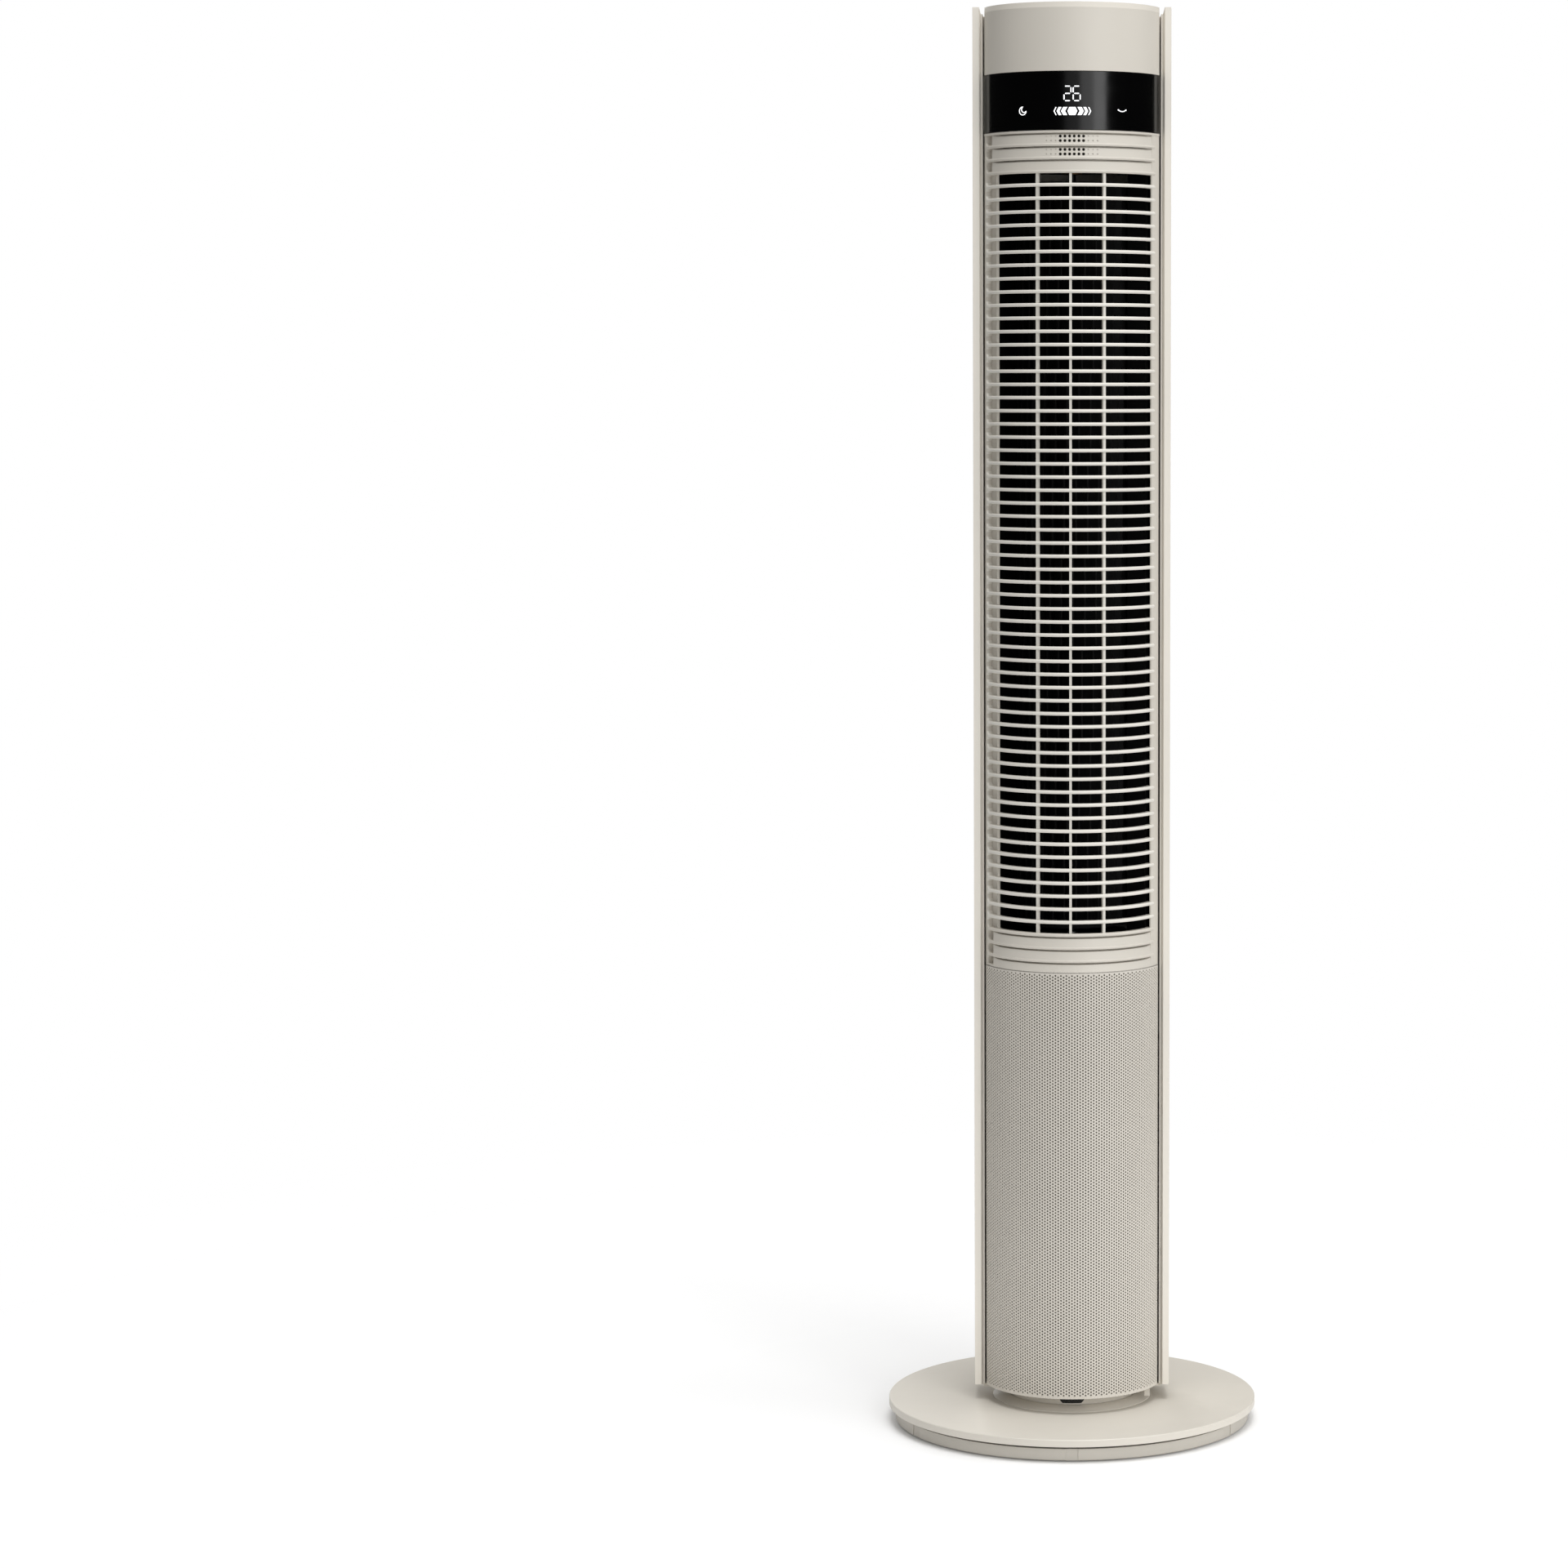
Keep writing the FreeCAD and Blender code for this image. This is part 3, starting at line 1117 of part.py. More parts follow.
def make_display():
    """The control board behind the display window, with its lit modules and touch springs."""
    half = d.display_board_width / 2
    front = d.display_board_y
    back = front + d.board_thickness
    low = d.display_board_bottom
    high = low + d.display_board_height
    keep(block((-half, front, low), (half, back, high)), "display_board")
    margin = d.bracket_margin
    frame = block((-half - margin, back, low - margin), (half + margin, back + d.bracket_thickness,
                                                         high + margin))
    relief = block((-half + margin, back, low + margin), (half - margin, back + d.bracket_thickness,
                                                          high - margin))
    keep(cut(frame, relief), "display_bracket")
    keep(board_block(DIGIT_BLOCK, front, low), "digit_module")
    group("indicator_modules", [board_block(sizes, front, low) for sizes in INDICATOR_BLOCKS])
    group("touch_springs", [
        level_cylinder(TOUCH_SPRINGS["radius"], front - TOUCH_SPRINGS["length"], front, "y", across,
                       low + TOUCH_SPRINGS["height"]) for across in TOUCH_SPRINGS["places"]])


def make_harness():
    """The wiring loom from the power board up beside the scroll to the display board."""
    bend = d.harness_bend.number
    x = d.harness_x.number
    y = d.harness_y.number
    start = (d.power_board_bottom + d.power_board_height).number - 30
    top = d.harness_top.number
    corner = bend * (1 - math.sqrt(0.5))
    radius = d.harness_radius.number
    board_back = (d.display_board_y + d.board_thickness + d.bracket_thickness
                  + d.harness_radius + d.duct_gap).number
    rise_end = FreeCAD.Vector(x, y, top - bend)
    turn_middle = FreeCAD.Vector(x, y - corner, top - corner)
    run_start = FreeCAD.Vector(x, y - bend, top)
    run_end = FreeCAD.Vector(x, board_back + bend, top)
    inward_middle = FreeCAD.Vector(x + corner, board_back + corner, top)
    inward_end = FreeCAD.Vector(x + bend, board_back, top)
    spine = Part.Wire([
        Part.LineSegment(FreeCAD.Vector(x, y, start), rise_end).toShape(),
        Part.Arc(rise_end, turn_middle, run_start).toShape(),
        Part.LineSegment(run_start, run_end).toShape(),
        Part.Arc(run_end, inward_middle, inward_end).toShape(),
    ])
    circle = Part.makeCircle(radius, FreeCAD.Vector(x, y, start), FreeCAD.Vector(0, 0, 1))
    shaped("wiring_harness", spine.makePipeShell([Part.Wire([circle])], True, True))


# --------------------------------------------------------------------------- build, check, write
make_base_plate()
make_base_tray()
make_base_weights_and_feet()
make_cable_gland()
make_pivot()
make_swing_drive()
make_tower_foot()
make_rear_housing()
make_side_rail("side_rail_left", -1)
make_side_rail("side_rail_right", 1)
make_rail_screws()
make_frame_screws()
make_front_panels()
make_front_grille()
make_top_cap()
make_rear_grille()
make_bulkheads()
make_duct()
make_impeller()
make_upper_bearing()
make_motor()
make_power_board()
make_display()
make_harness()
document.recompute()

for thing in document.Objects:
    if "Invalid" in thing.State or "Error" in thing.State:
        raise RuntimeError(f"{thing.Name} ({thing.Label}) failed: {thing.State}")
for part in PARTS:
    if part.Shape.isNull() or not part.Shape.isValid():
        raise RuntimeError(f"{part.Label} has no valid shape")
os.makedirs("parts", exist_ok=True)
for part in PARTS:
    part.Shape.exportStep(f"parts/{part.Label}.step")
    box = part.Shape.BoundBox
    print(f"{part.Label}: {len(part.Shape.Solids)} solids, {part.Shape.Volume / 1000:.2f} cm3, "
          f"x {box.XMin:.1f}..{box.XMax:.1f} y {box.YMin:.1f}..{box.YMax:.1f} "
          f"z {box.ZMin:.1f}..{box.ZMax:.1f}")
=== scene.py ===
"""Looks of the tower fan: fine front grille, perforated lower panel, lit display, finishes and studio."""
import json
import math

import bmesh
import bpy
from mathutils import Matrix, Vector


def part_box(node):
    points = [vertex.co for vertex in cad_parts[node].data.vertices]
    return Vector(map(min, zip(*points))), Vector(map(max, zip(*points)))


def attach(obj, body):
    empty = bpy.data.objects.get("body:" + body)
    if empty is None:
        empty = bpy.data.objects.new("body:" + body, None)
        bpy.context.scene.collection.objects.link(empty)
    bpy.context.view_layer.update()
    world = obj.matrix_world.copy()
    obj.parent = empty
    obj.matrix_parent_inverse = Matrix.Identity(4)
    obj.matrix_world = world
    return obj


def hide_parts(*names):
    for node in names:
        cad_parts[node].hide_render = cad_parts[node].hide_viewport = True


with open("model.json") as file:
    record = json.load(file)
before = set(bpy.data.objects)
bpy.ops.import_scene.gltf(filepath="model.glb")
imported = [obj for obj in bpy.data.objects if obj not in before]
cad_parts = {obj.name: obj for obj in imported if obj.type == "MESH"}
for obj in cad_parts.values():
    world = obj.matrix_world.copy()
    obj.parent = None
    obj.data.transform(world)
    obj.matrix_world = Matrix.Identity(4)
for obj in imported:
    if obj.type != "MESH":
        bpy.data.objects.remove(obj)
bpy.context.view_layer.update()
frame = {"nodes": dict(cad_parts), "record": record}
SKIN = 0.070            # radius of the tower's front
NODES = frame["nodes"]


# --------------------------------------------------------------------------- materials
class Paint:
    """A Principled material with short ways to add procedural detail in object space."""

    def __init__(self, name, color, roughness, metallic=0.0):
        self.material = bpy.data.materials.new(name)
        self.material.use_nodes = True
        self.tree = self.material.node_tree
        self.shader = self.tree.nodes["Principled BSDF"]
        self.color = color
        self.set("Metallic", metallic)
        self.set("Roughness", roughness)
        self.set("Base Color", (*color, 1.0))
        self.place = self.node("ShaderNodeTexCoord").outputs["Object"]

    def set(self, socket, value):
        self.shader.inputs[socket].default_value = value

    def node(self, kind, **settings):
        made = self.tree.nodes.new(kind)
        for key, value in settings.items():
            setattr(made, key, value)
        return made

    def link(self, start, end):
        self.tree.links.new(start, end)

    def stretched(self, scale):
        """Object coordinates scaled by axis."""
        mapping = self.node("ShaderNodeMapping")
        mapping.inputs["Scale"].default_value = scale
        self.link(self.place, mapping.inputs["Vector"])
        return mapping.outputs["Vector"]

    def noise(self, scale, detail=3.0, stretch=(1, 1, 1)):
        made = self.node("ShaderNodeTexNoise")
        made.inputs["Scale"].default_value = scale
        made.inputs["Detail"].default_value = detail
        self.link(self.stretched(stretch), made.inputs["Vector"])
        return made.outputs["Fac"]

    def ramp(self, value, low, high, out_low, out_high):
        made = self.node("ShaderNodeMapRange")
        for socket, number in (("From Min", low), ("From Max", high), ("To Min", out_low),
                               ("To Max", out_high)):
            made.inputs[socket].default_value = number
        self.link(value, made.inputs["Value"])
        return made.outputs["Result"]

    def tint(self, value, low, high):
        """Colour that drifts between two shades of the base colour."""
        mix = self.node("ShaderNodeMix", data_type="RGBA")
        mix.inputs["A"].default_value = (*[c * low for c in self.color], 1)
        mix.inputs["B"].default_value = (*[min(1.0, c * high) for c in self.color], 1)
        self.link(self.ramp(value, 0.3, 0.7, 0, 1), mix.inputs["Factor"])
        self.link(mix.outputs["Result"], self.shader.inputs["Base Color"])

    def roughen(self, value, low, high):
        self.link(self.ramp(value, 0.3, 0.7, low, high), self.shader.inputs["Roughness"])

    def bump(self, value, depth, soften=0.0):
        bump = self.node("ShaderNodeBump")
        bump.inputs["Distance"].default_value = depth
        bump.inputs["Strength"].default_value = 1.0
        self.link(value, bump.inputs["Height"])
        if soften:
            bevel = self.node("ShaderNodeBevel", samples=6)
            bevel.inputs["Radius"].default_value = soften
            self.link(bevel.outputs["Normal"], bump.inputs["Normal"])
        self.link(bump.outputs["Normal"], self.shader.inputs["Normal"])


def moulded(name, color, roughness, soften=0.0004, grain=3200.0):
    """Spark-eroded plastic: fine grain, faint drift of shade and gloss, softened edges."""
    paint = Paint(name, color, roughness)
    paint.tint(paint.noise(14.0, 2.0), 0.985, 1.015)
    paint.roughen(paint.noise(60.0, 4.0), roughness - 0.04, roughness + 0.04)
    paint.bump(paint.noise(grain, 2.0), 0.00001, soften)
    return paint.material


def metal(name, color, roughness, stretch, depth=0.000006):
    """Turned or rolled metal with fine lines along one direction."""
    paint = Paint(name, color, roughness, metallic=1.0)
    paint.tint(paint.noise(30.0), 0.9, 1.06)
    lines = paint.noise(260.0, 4.0, stretch)
    paint.roughen(lines, roughness - 0.08, roughness + 0.1)
    paint.bump(lines, depth)
    return paint.material


def glossy_window():
    """Smoked, polished plastic with very faint wipe marks."""
    paint = Paint("display", (0.0008, 0.0008, 0.0009), 0.17)
    paint.tint(paint.noise(20.0), 0.8, 1.2)
    paint.roughen(paint.noise(35.0, 5.0, (1, 1, 3)), 0.15, 0.20)
    paint.set("IOR", 1.42)
    return paint.material


def lit_figure():
    """White figures lit from behind, slightly uneven in brightness."""
    paint = Paint("lit_figures", (0.9, 0.92, 0.95), 0.4)
    paint.tint(paint.noise(240.0), 0.96, 1.02)
    paint.set("Emission Color", (1.0, 1.0, 1.0, 1.0))
    glow = paint.ramp(paint.noise(180.0), 0.3, 0.7, 0.74, 0.84)
    paint.link(glow, paint.shader.inputs["Emission Strength"])
    return paint.material


def circuit_board():
    """Green solder mask with paler tracks."""
    paint = Paint("board", (0.02, 0.11, 0.05), 0.35)
    tracks = paint.node("ShaderNodeTexBrick")
    tracks.inputs["Scale"].default_value = 160.0
    tracks.inputs["Color1"].default_value = (0.02, 0.11, 0.05, 1)
    tracks.inputs["Color2"].default_value = (0.03, 0.15, 0.07, 1)
    tracks.inputs["Mortar"].default_value = (0.07, 0.24, 0.12, 1)
    paint.link(paint.stretched((1, 1, 1)), tracks.inputs["Vector"])
    paint.link(tracks.outputs["Color"], paint.shader.inputs["Base Color"])
    paint.roughen(paint.noise(400.0), 0.3, 0.42)
    return paint.material


GREIGE = (0.665, 0.628, 0.560)
SHELL = moulded("shell", GREIGE, 0.48)
PANEL = moulded("panel_shell", (0.65, 0.613, 0.55), 0.52, soften=0.0)
# Lighter copy of the shell for the open rows' slats and the ribs: painted light, as on their lit faces.
LOUVRE_PAINTED_LIGHT = moulded("louvre_shell_painted_light", (0.79, 0.762, 0.70), 0.42)
# Grey for a sheet behind the panel's holes: painted shade for what is seen through them.
HOLE_SHADE_SHEET = moulded("panel_hole_shade_sheet", (0.44, 0.417, 0.375), 0.7, soften=0.0)
BLACK = moulded("black_plastic", (0.0032, 0.0032, 0.0035), 0.7, soften=0.0)
BLACK.node_tree.nodes["Principled BSDF"].inputs["Specular IOR Level"].default_value = 0.2
SLOTS = {
    "shell": SHELL,
    "display": glossy_window(),
    "lit_figures": lit_figure(),
    "black_plastic": BLACK,
    "slide_plastic": moulded("slide_plastic", (0.78, 0.77, 0.73), 0.35, soften=0.0),
    "rubber": moulded("rubber", (0.035, 0.035, 0.036), 0.78, soften=0.0, grain=1800.0),
    "zinc_steel": metal("zinc_steel", (0.62, 0.62, 0.60), 0.34, (1, 1, 8)),
    "ballast": metal("ballast", (0.16, 0.16, 0.16), 0.62, (1, 1, 1), 0.00003),
    "laminations": metal("laminations", (0.42, 0.42, 0.44), 0.42, (0.1, 0.1, 14)),
    "bronze": metal("bronze", (0.22, 0.14, 0.07), 0.45, (1, 1, 1)),
    "board": circuit_board(),
    "cable_jacket": moulded("cable_jacket", (0.03, 0.03, 0.03), 0.6, soften=0.0, grain=900.0),
}
# Lighter copy of the shell for the side rails: painted light, as on the rails' lit faces.
RAIL_PAINTED_LIGHT = moulded("rail_shell_painted_light", (0.83, 0.79, 0.715), 0.45)
DARK_STEEL = metal("dark_steel", (0.05, 0.05, 0.052), 0.42, (1, 1, 8))
# Materials of single parts: dark steel on the shafts and the set screw, the lighter rail copy of the shell
# (painted light), and a darker copy of the shell on the base tray, which is painted shade under the disc's
# overhang.
OWN_FINISH_AND_PAINTED_LIGHT = {
    "base_tray": moulded("tray_shell_painted_shade", (0.52, 0.49, 0.435), 0.55),
    "side_rail_left": RAIL_PAINTED_LIGHT,
    "side_rail_right": RAIL_PAINTED_LIGHT,
    "stub_shaft": DARK_STEEL,
    "motor_shaft": DARK_STEEL,
    "hub_set_screw": DARK_STEEL,
}
for part in frame["record"]["subparts"]:
    mesh = NODES[part["node"]].data
    mesh.materials.clear()
    mesh.materials.append(OWN_FINISH_AND_PAINTED_LIGHT.get(part["node"], SLOTS[part["material_slot"]]))


# --------------------------------------------------------------------------- mesh helpers
# Edges sharper than the angle stay sharp on a smoothed piece.
ROUNDED, SOFT, CRISP = math.radians(50), math.radians(40), math.radians(30)


def round_front(radius, turn, height):
    """A point on an upright cylinder; turn is in radians from the front towards the right."""
    return (radius * math.sin(turn), -radius * math.cos(turn), height)


def add_piece(name, vertices, faces, slot, material, stands_for=(), smooth=0.0, body="tower"):
    """Makes a mesh piece that rides on a CAD body."""
    mesh = bpy.data.meshes.new(name)
    mesh.from_pydata(vertices, [], faces)
    mesh.validate()
    if smooth:
        mesh.shade_smooth()
        mesh.set_sharp_from_angle(angle=smooth)
    piece = bpy.data.objects.new(name, mesh)
    bpy.context.scene.collection.objects.link(piece)
    mesh.materials.append(material)
    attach(piece, body)
    if stands_for:
        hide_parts(*stands_for)
    return piece


class Builder:
    """Collects the vertices and faces of a mesh, in metres."""

    def __init__(self):
        self.vertices = []
        self.faces = []

    def sweep(self, profile, turns, ring=False):
        """Sweeps a closed (radius, height) profile round the tower and caps its ends, unless it is a ring."""
        first = len(self.vertices)
        for turn in turns:
            self.vertices += [round_front(r, turn, z) for r, z in profile(turn)]
        count = len(profile(turns[0]))
        for step in range(len(turns) - (not ring)):
            near = first + step * count
            far = first + (step + 1) % len(turns) * count
            for corner in range(count):
                after = (corner + 1) % count
                self.faces.append((near + corner, far + corner, far + after, near + after))
        if ring:
            return
        last = first + (len(turns) - 1) * count
        self.faces.append(tuple(range(first, first + count)))
        self.faces.append(tuple(range(last + count - 1, last - 1, -1)))

    def piece(self, name, slot, material, stands_for=(), smooth=0.0, body="tower"):
        return add_piece(name, self.vertices, self.faces, slot, material, stands_for, smooth, body)


def spread(start, end, count):
    """Evenly spaced values, both ends included."""
    return [start + (end - start) * step / (count - 1) for step in range(count)]


def full_circle(count):
    """Evenly spaced angles once round."""
    return spread(0, 2 * math.pi * (count - 1) / count, count)


def plain(points):
    """A profile that is the same all along a sweep."""
    return lambda turn: points


def oblong(inner, outer, low, high):
    """A rectangular profile between two radii and two heights."""
    return plain([(inner, low), (outer, low), (outer, high), (inner, high)])


# --------------------------------------------------------------------------- front grille
GRILLE_LOW, GRILLE_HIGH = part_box("front_grille")
PITCH = 0.010
FIRST_SLAT = 0.3915     # height of the slat below the lowest open row
OPEN_ROWS = 58
CLOSED_ROWS = 2         # closed rows below the opening, and slats above the one that ends it
LAST_SLAT = FIRST_SLAT + PITCH * OPEN_ROWS
HALF_SLAT = 0.0013
SLAT_NOSE = 0.0012      # largest radius of a slat's front edges
NOSE_SHARE = 0.92        # largest share of a slat's half height that its nose takes
BACK_LOW_SHARE, BACK_HIGH_SHARE = 0.8, 0.9      # a slat thins towards its back
NOSE_BENDS = [math.pi / 2 * step / 4 for step in range(1, 4)]
SLAT_LEFT = math.radians(-70.0)
SLAT_RIGHT = math.radians(65.6)
EDGE = math.radians(73.4)       # the grille's own edges
INNER = 0.0646          # back of the slats
RECESS = 0.0656         # face of the recessed strip on the left
RIB_BACK, RIB_FRONT = 0.0642, 0.0670
RIB_PLACES = (-0.0264, -0.0010, 0.0247)
HALF_RIB = 0.0010
FLUSH = 0.0696          # face of the plain borders
BORDER_PLATE = 0.0012
LOWEST_BAND = 0.0014
OPENING = (-0.0562, 0.0610)     # left and right, across
OPENING_STEP = 0.009    # width, in radians, of the raised edge left of the opening
FILL = (math.radians(-61.0), math.radians(63.0))        # ends of the closed rows' faces
LIP_LOW, LIP_HIGH, LIP_BEVEL = 1.0002, 1.0018, 0.0004
FINE = math.radians(0.35)

# The left end of a slat swells into the frame within a few degrees. The right end thickens a little, then
# tapers off.
ROOT_SWELL, ROOT_REACH, ROOT_POWER = 2.3, 2.6, 2.5
TIP_SWELL, TIP_REACH = 0.3, 6
TIP_STUB, TIP_TAPER = 0.2, 1.5


def slat_profile(height):
    """A slat's section, with a rounded nose."""
    def section(turn):
        from_left = math.degrees(turn - SLAT_LEFT)
        to_right = math.degrees(SLAT_RIGHT - turn)
        swell = 1 + ROOT_SWELL * max(0.0, 1 - from_left / ROOT_REACH) ** ROOT_POWER
        swell *= 1 + TIP_SWELL * max(0.0, 1 - to_right / TIP_REACH)
        swell *= min(1.0, TIP_STUB + to_right / TIP_TAPER)
        tall = HALF_SLAT * swell
        nose = min(SLAT_NOSE, tall * NOSE_SHARE)
        low, high = height - tall, height + tall
        points = [(INNER, height - tall * BACK_LOW_SHARE), (SKIN - nose, low)]
        for bend in NOSE_BENDS:
            points.append((SKIN - nose * (1 - math.sin(bend)), low + nose * (1 - math.cos(bend))))
        points += [(SKIN, low + nose), (SKIN, high - nose)]
        for bend in NOSE_BENDS:
            points.append((SKIN - nose * (1 - math.cos(bend)), high - nose * (1 - math.sin(bend))))
        return points + [(SKIN - nose, high), (INNER, height + tall * BACK_HIGH_SHARE)]
    return section


def make_slats():
    """Slats of the open rows, and the slats and the upper lip that bound the closed rows."""
    # Close steps near both ends, where the section changes, and wide ones between.
    turns = [SLAT_LEFT + FINE * step for step in range(9)]
    turns += spread(SLAT_LEFT + FINE * 11, SLAT_RIGHT - FINE * 8, 45)
    turns += [SLAT_RIGHT - FINE * step for step in range(6, -1, -1)]
    slats, closed_slats = Builder(), Builder()
    for row in range(-CLOSED_ROWS, OPEN_ROWS + CLOSED_ROWS + 1):
        builder = slats if 0 < row < OPEN_ROWS else closed_slats
        builder.sweep(slat_profile(FIRST_SLAT + PITCH * row), turns)
    lip = [(INNER, LIP_LOW), (SKIN - LIP_BEVEL, LIP_LOW), (SKIN, LIP_LOW + LIP_BEVEL), (SKIN, LIP_HIGH),
           (SKIN - LIP_BEVEL, GRILLE_HIGH.z), (INNER, GRILLE_HIGH.z)]
    closed_slats.sweep(plain(lip), spread(-EDGE, EDGE, 57))
    # The open rows' slats take the lighter copy of the shell (painted light); the closed rows' slats take the
    # plain shell.
    slats.piece("grille_slats", "shell", LOUVRE_PAINTED_LIGHT, ["front_grille"], smooth=ROUNDED)
    closed_slats.piece("grille_closed_slats", "shell", SHELL, smooth=ROUNDED)


def make_walls():
    """The grille's frame: plain borders, and a recessed strip with a low band under it on the left."""
    walls = Builder()
    low, high = GRILLE_LOW.z, GRILLE_HIGH.z
    left = math.asin(OPENING[0] / RECESS)
    right = math.asin(OPENING[1] / FLUSH)
    start = SLAT_LEFT + FINE
    walls.sweep(oblong(INNER, FLUSH, low, high), spread(-EDGE, start, 3))
    walls.sweep(oblong(INNER, FLUSH, low, low + LOWEST_BAND), spread(start, FILL[0], 5))
    walls.sweep(oblong(INNER, RECESS, low, high), spread(start, left - OPENING_STEP, 6))
    walls.sweep(oblong(INNER, RIB_FRONT, low, high), spread(left - OPENING_STEP, left, 2))
    walls.sweep(oblong(FLUSH - BORDER_PLATE, FLUSH, low, high), spread(right, EDGE, 9))
    walls.piece("grille_walls", "shell", SHELL, smooth=SOFT)


def make_ribs():
    """Three upright ribs that tie the slats together."""
    ribs = Builder()
    for across in RIB_PLACES:
        centre = math.asin(across / RIB_FRONT)
        half = HALF_RIB / RIB_FRONT / math.cos(centre)
        ribs.sweep(oblong(RIB_BACK, RIB_FRONT, FIRST_SLAT, LAST_SLAT),
                   spread(centre - half, centre + half, 2))
    # The ribs take the lighter copy of the shell: painted light.
    ribs.piece("grille_ribs", "shell", LOUVRE_PAINTED_LIGHT)


# A closed row's face leans back towards its top, where a groove runs under the slat above. The groove
# tapers off towards both ends of the row.
FILL_LOW_SET_BACK, FILL_HIGH_SET_BACK = 0.0003, 0.0009
GROOVE_TAPER = 7                                # degrees
GROOVE_LEAST_DEPTH = 0.0001
GROOVE_MORE_DEPTH = SKIN - 0.0012 - INNER
GROOVE_LEAST_GAP, GROOVE_MORE_GAP = 0.0003, 0.0008
GROOVE_LIP = 0.0002


def fill_row(builder, low, high):
    """The closed face between two slats."""
    def section(turn):
        from_end = math.degrees(min(turn - FILL[0], FILL[1] - turn))
        taper = min(1.0, from_end / GROOVE_TAPER)
        groove = GROOVE_LEAST_DEPTH + GROOVE_MORE_DEPTH * taper
        gap = GROOVE_LEAST_GAP + GROOVE_MORE_GAP * taper
        face = SKIN - FILL_HIGH_SET_BACK
        return [(INNER, low), (SKIN - FILL_LOW_SET_BACK, low), (face, high - gap - GROOVE_LIP),
                (face - groove, high - gap), (face - groove, high), (INNER, high)]
    builder.sweep(section, spread(*FILL, 57))


def make_closed_rows():
    """Plain closed rows below and above the opening, and the two upper rows with vents."""
    rows = Builder()
    for row in (*range(-CLOSED_ROWS, 0), OPEN_ROWS):
        fill_row(rows, FIRST_SLAT + PITCH * row, FIRST_SLAT + PITCH * (row + 1) - HALF_SLAT)
    fill_row(rows, GRILLE_LOW.z, FIRST_SLAT - CLOSED_ROWS * PITCH - HALF_SLAT)
    rows.piece("grille_closed_rows", "shell", SHELL, smooth=CRISP)
    vented = Builder()
    fill_row(vented, LAST_SLAT + PITCH, LAST_SLAT + CLOSED_ROWS * PITCH - HALF_SLAT)
    fill_row(vented, LAST_SLAT + CLOSED_ROWS * PITCH, LIP_LOW)
    drill(vented.piece("grille_vent_rows", "shell", SHELL, smooth=CRISP), vent_holes())


VENT_PITCH = 0.0035
VENT_COLUMNS = 12
VENT_HEIGHTS = (0.9977, 0.9943, 0.9877, 0.9843)
OPEN_VENTS_HALF_WIDTH = 0.0100                  # vents farther out than this are only pits
OPEN_VENT = (0.0011, 0.016)                     # radius, and length of a cutter centred on the skin
PIT = (0.00042, 0.0030)
VENT_SIDES = 16


def vent_holes():
    """Place across, height, radius and cutter length of each vent and pit."""
    holes = []
    for height in VENT_HEIGHTS:
        for column in range(VENT_COLUMNS):
            across = (column - VENT_COLUMNS / 2 + 0.5) * VENT_PITCH
            holes.append((across, height, *(OPEN_VENT if abs(across) < OPEN_VENTS_HALF_WIDTH else PIT)))
    return holes


def drill(piece, holes):
    """Cuts round holes into a piece; each cutter is centred on the tower's skin."""
    cutters = bmesh.new()
    for across, height, radius, length in holes:
        made = bmesh.ops.create_cone(cutters, cap_ends=True, segments=VENT_SIDES, radius1=radius,
                                     radius2=radius, depth=length)
        bmesh.ops.rotate(cutters, verts=made["verts"], cent=(0, 0, 0),
                         matrix=Matrix.Rotation(math.pi / 2, 3, "X"))
        front = math.sqrt(SKIN ** 2 - across ** 2)
        bmesh.ops.translate(cutters, verts=made["verts"], vec=(across, -front, height))
    mesh = bpy.data.meshes.new("cutters")
    cutters.to_mesh(mesh)
    cutters.free()
    tool = bpy.data.objects.new("cutters", mesh)
    bpy.context.scene.collection.objects.link(tool)
    boolean = piece.modifiers.new("holes", "BOOLEAN")
    boolean.object = tool
    boolean.operation = "DIFFERENCE"
    boolean.solver = "EXACT"
    bpy.context.view_layer.update()
    shaped = bpy.data.meshes.new_from_object(piece.evaluated_get(bpy.context.evaluated_depsgraph_get()))
    piece.modifiers.clear()
    piece.data = shaped
    bpy.data.objects.remove(tool)


make_slats()
make_walls()
make_ribs()
make_closed_rows()


# --------------------------------------------------------------------------- perforated panel
PANEL_LOW, PANEL_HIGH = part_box("lower_panel")
PANEL_TURN = math.radians(72.35)
COLUMNS = 83
COLUMN_PITCH = 2 * PANEL_TURN * SKIN / (COLUMNS + 0.5)
HOLE = 0.00080          # radius of a hole, to its corners
SHEET = 0.0009
BORDER_LOW, BORDER_HIGH = 0.0016, 0.0006
ROWS = 139
FIRST_HOLE = PANEL_LOW.z + BORDER_LOW
HOLE_PITCH = (PANEL_HIGH.z - BORDER_HIGH - FIRST_HOLE) / (ROWS + 0.5)
THIRD = COLUMN_PITCH / 3
# Corners of the six-sided cell round a hole: lengths across, and heights as shares of the pitch.
CELL = [(2 * THIRD, 0), (THIRD, 0.5), (-THIRD, 0.5), (-2 * THIRD, 0), (-THIRD, -0.5), (THIRD, -0.5)]
CORNERS = [(HOLE * math.cos(k * math.pi / 3), HOLE * math.sin(k * math.pi / 3)) for k in range(6)]
WELD = 1e6              # points that agree to a micrometre are one point
PARTS = (0, COLUMNS // 3, 2 * COLUMNS // 3, COLUMNS)


def hole_centre(column, row):
    """A hole's length round the panel and height; every other column sits half a pitch up."""
    half_up = 0.5 if column % 2 else 0.0
    return (column - (COLUMNS - 1) / 2) * COLUMN_PITCH, FIRST_HOLE + (row + half_up + 0.5) * HOLE_PITCH


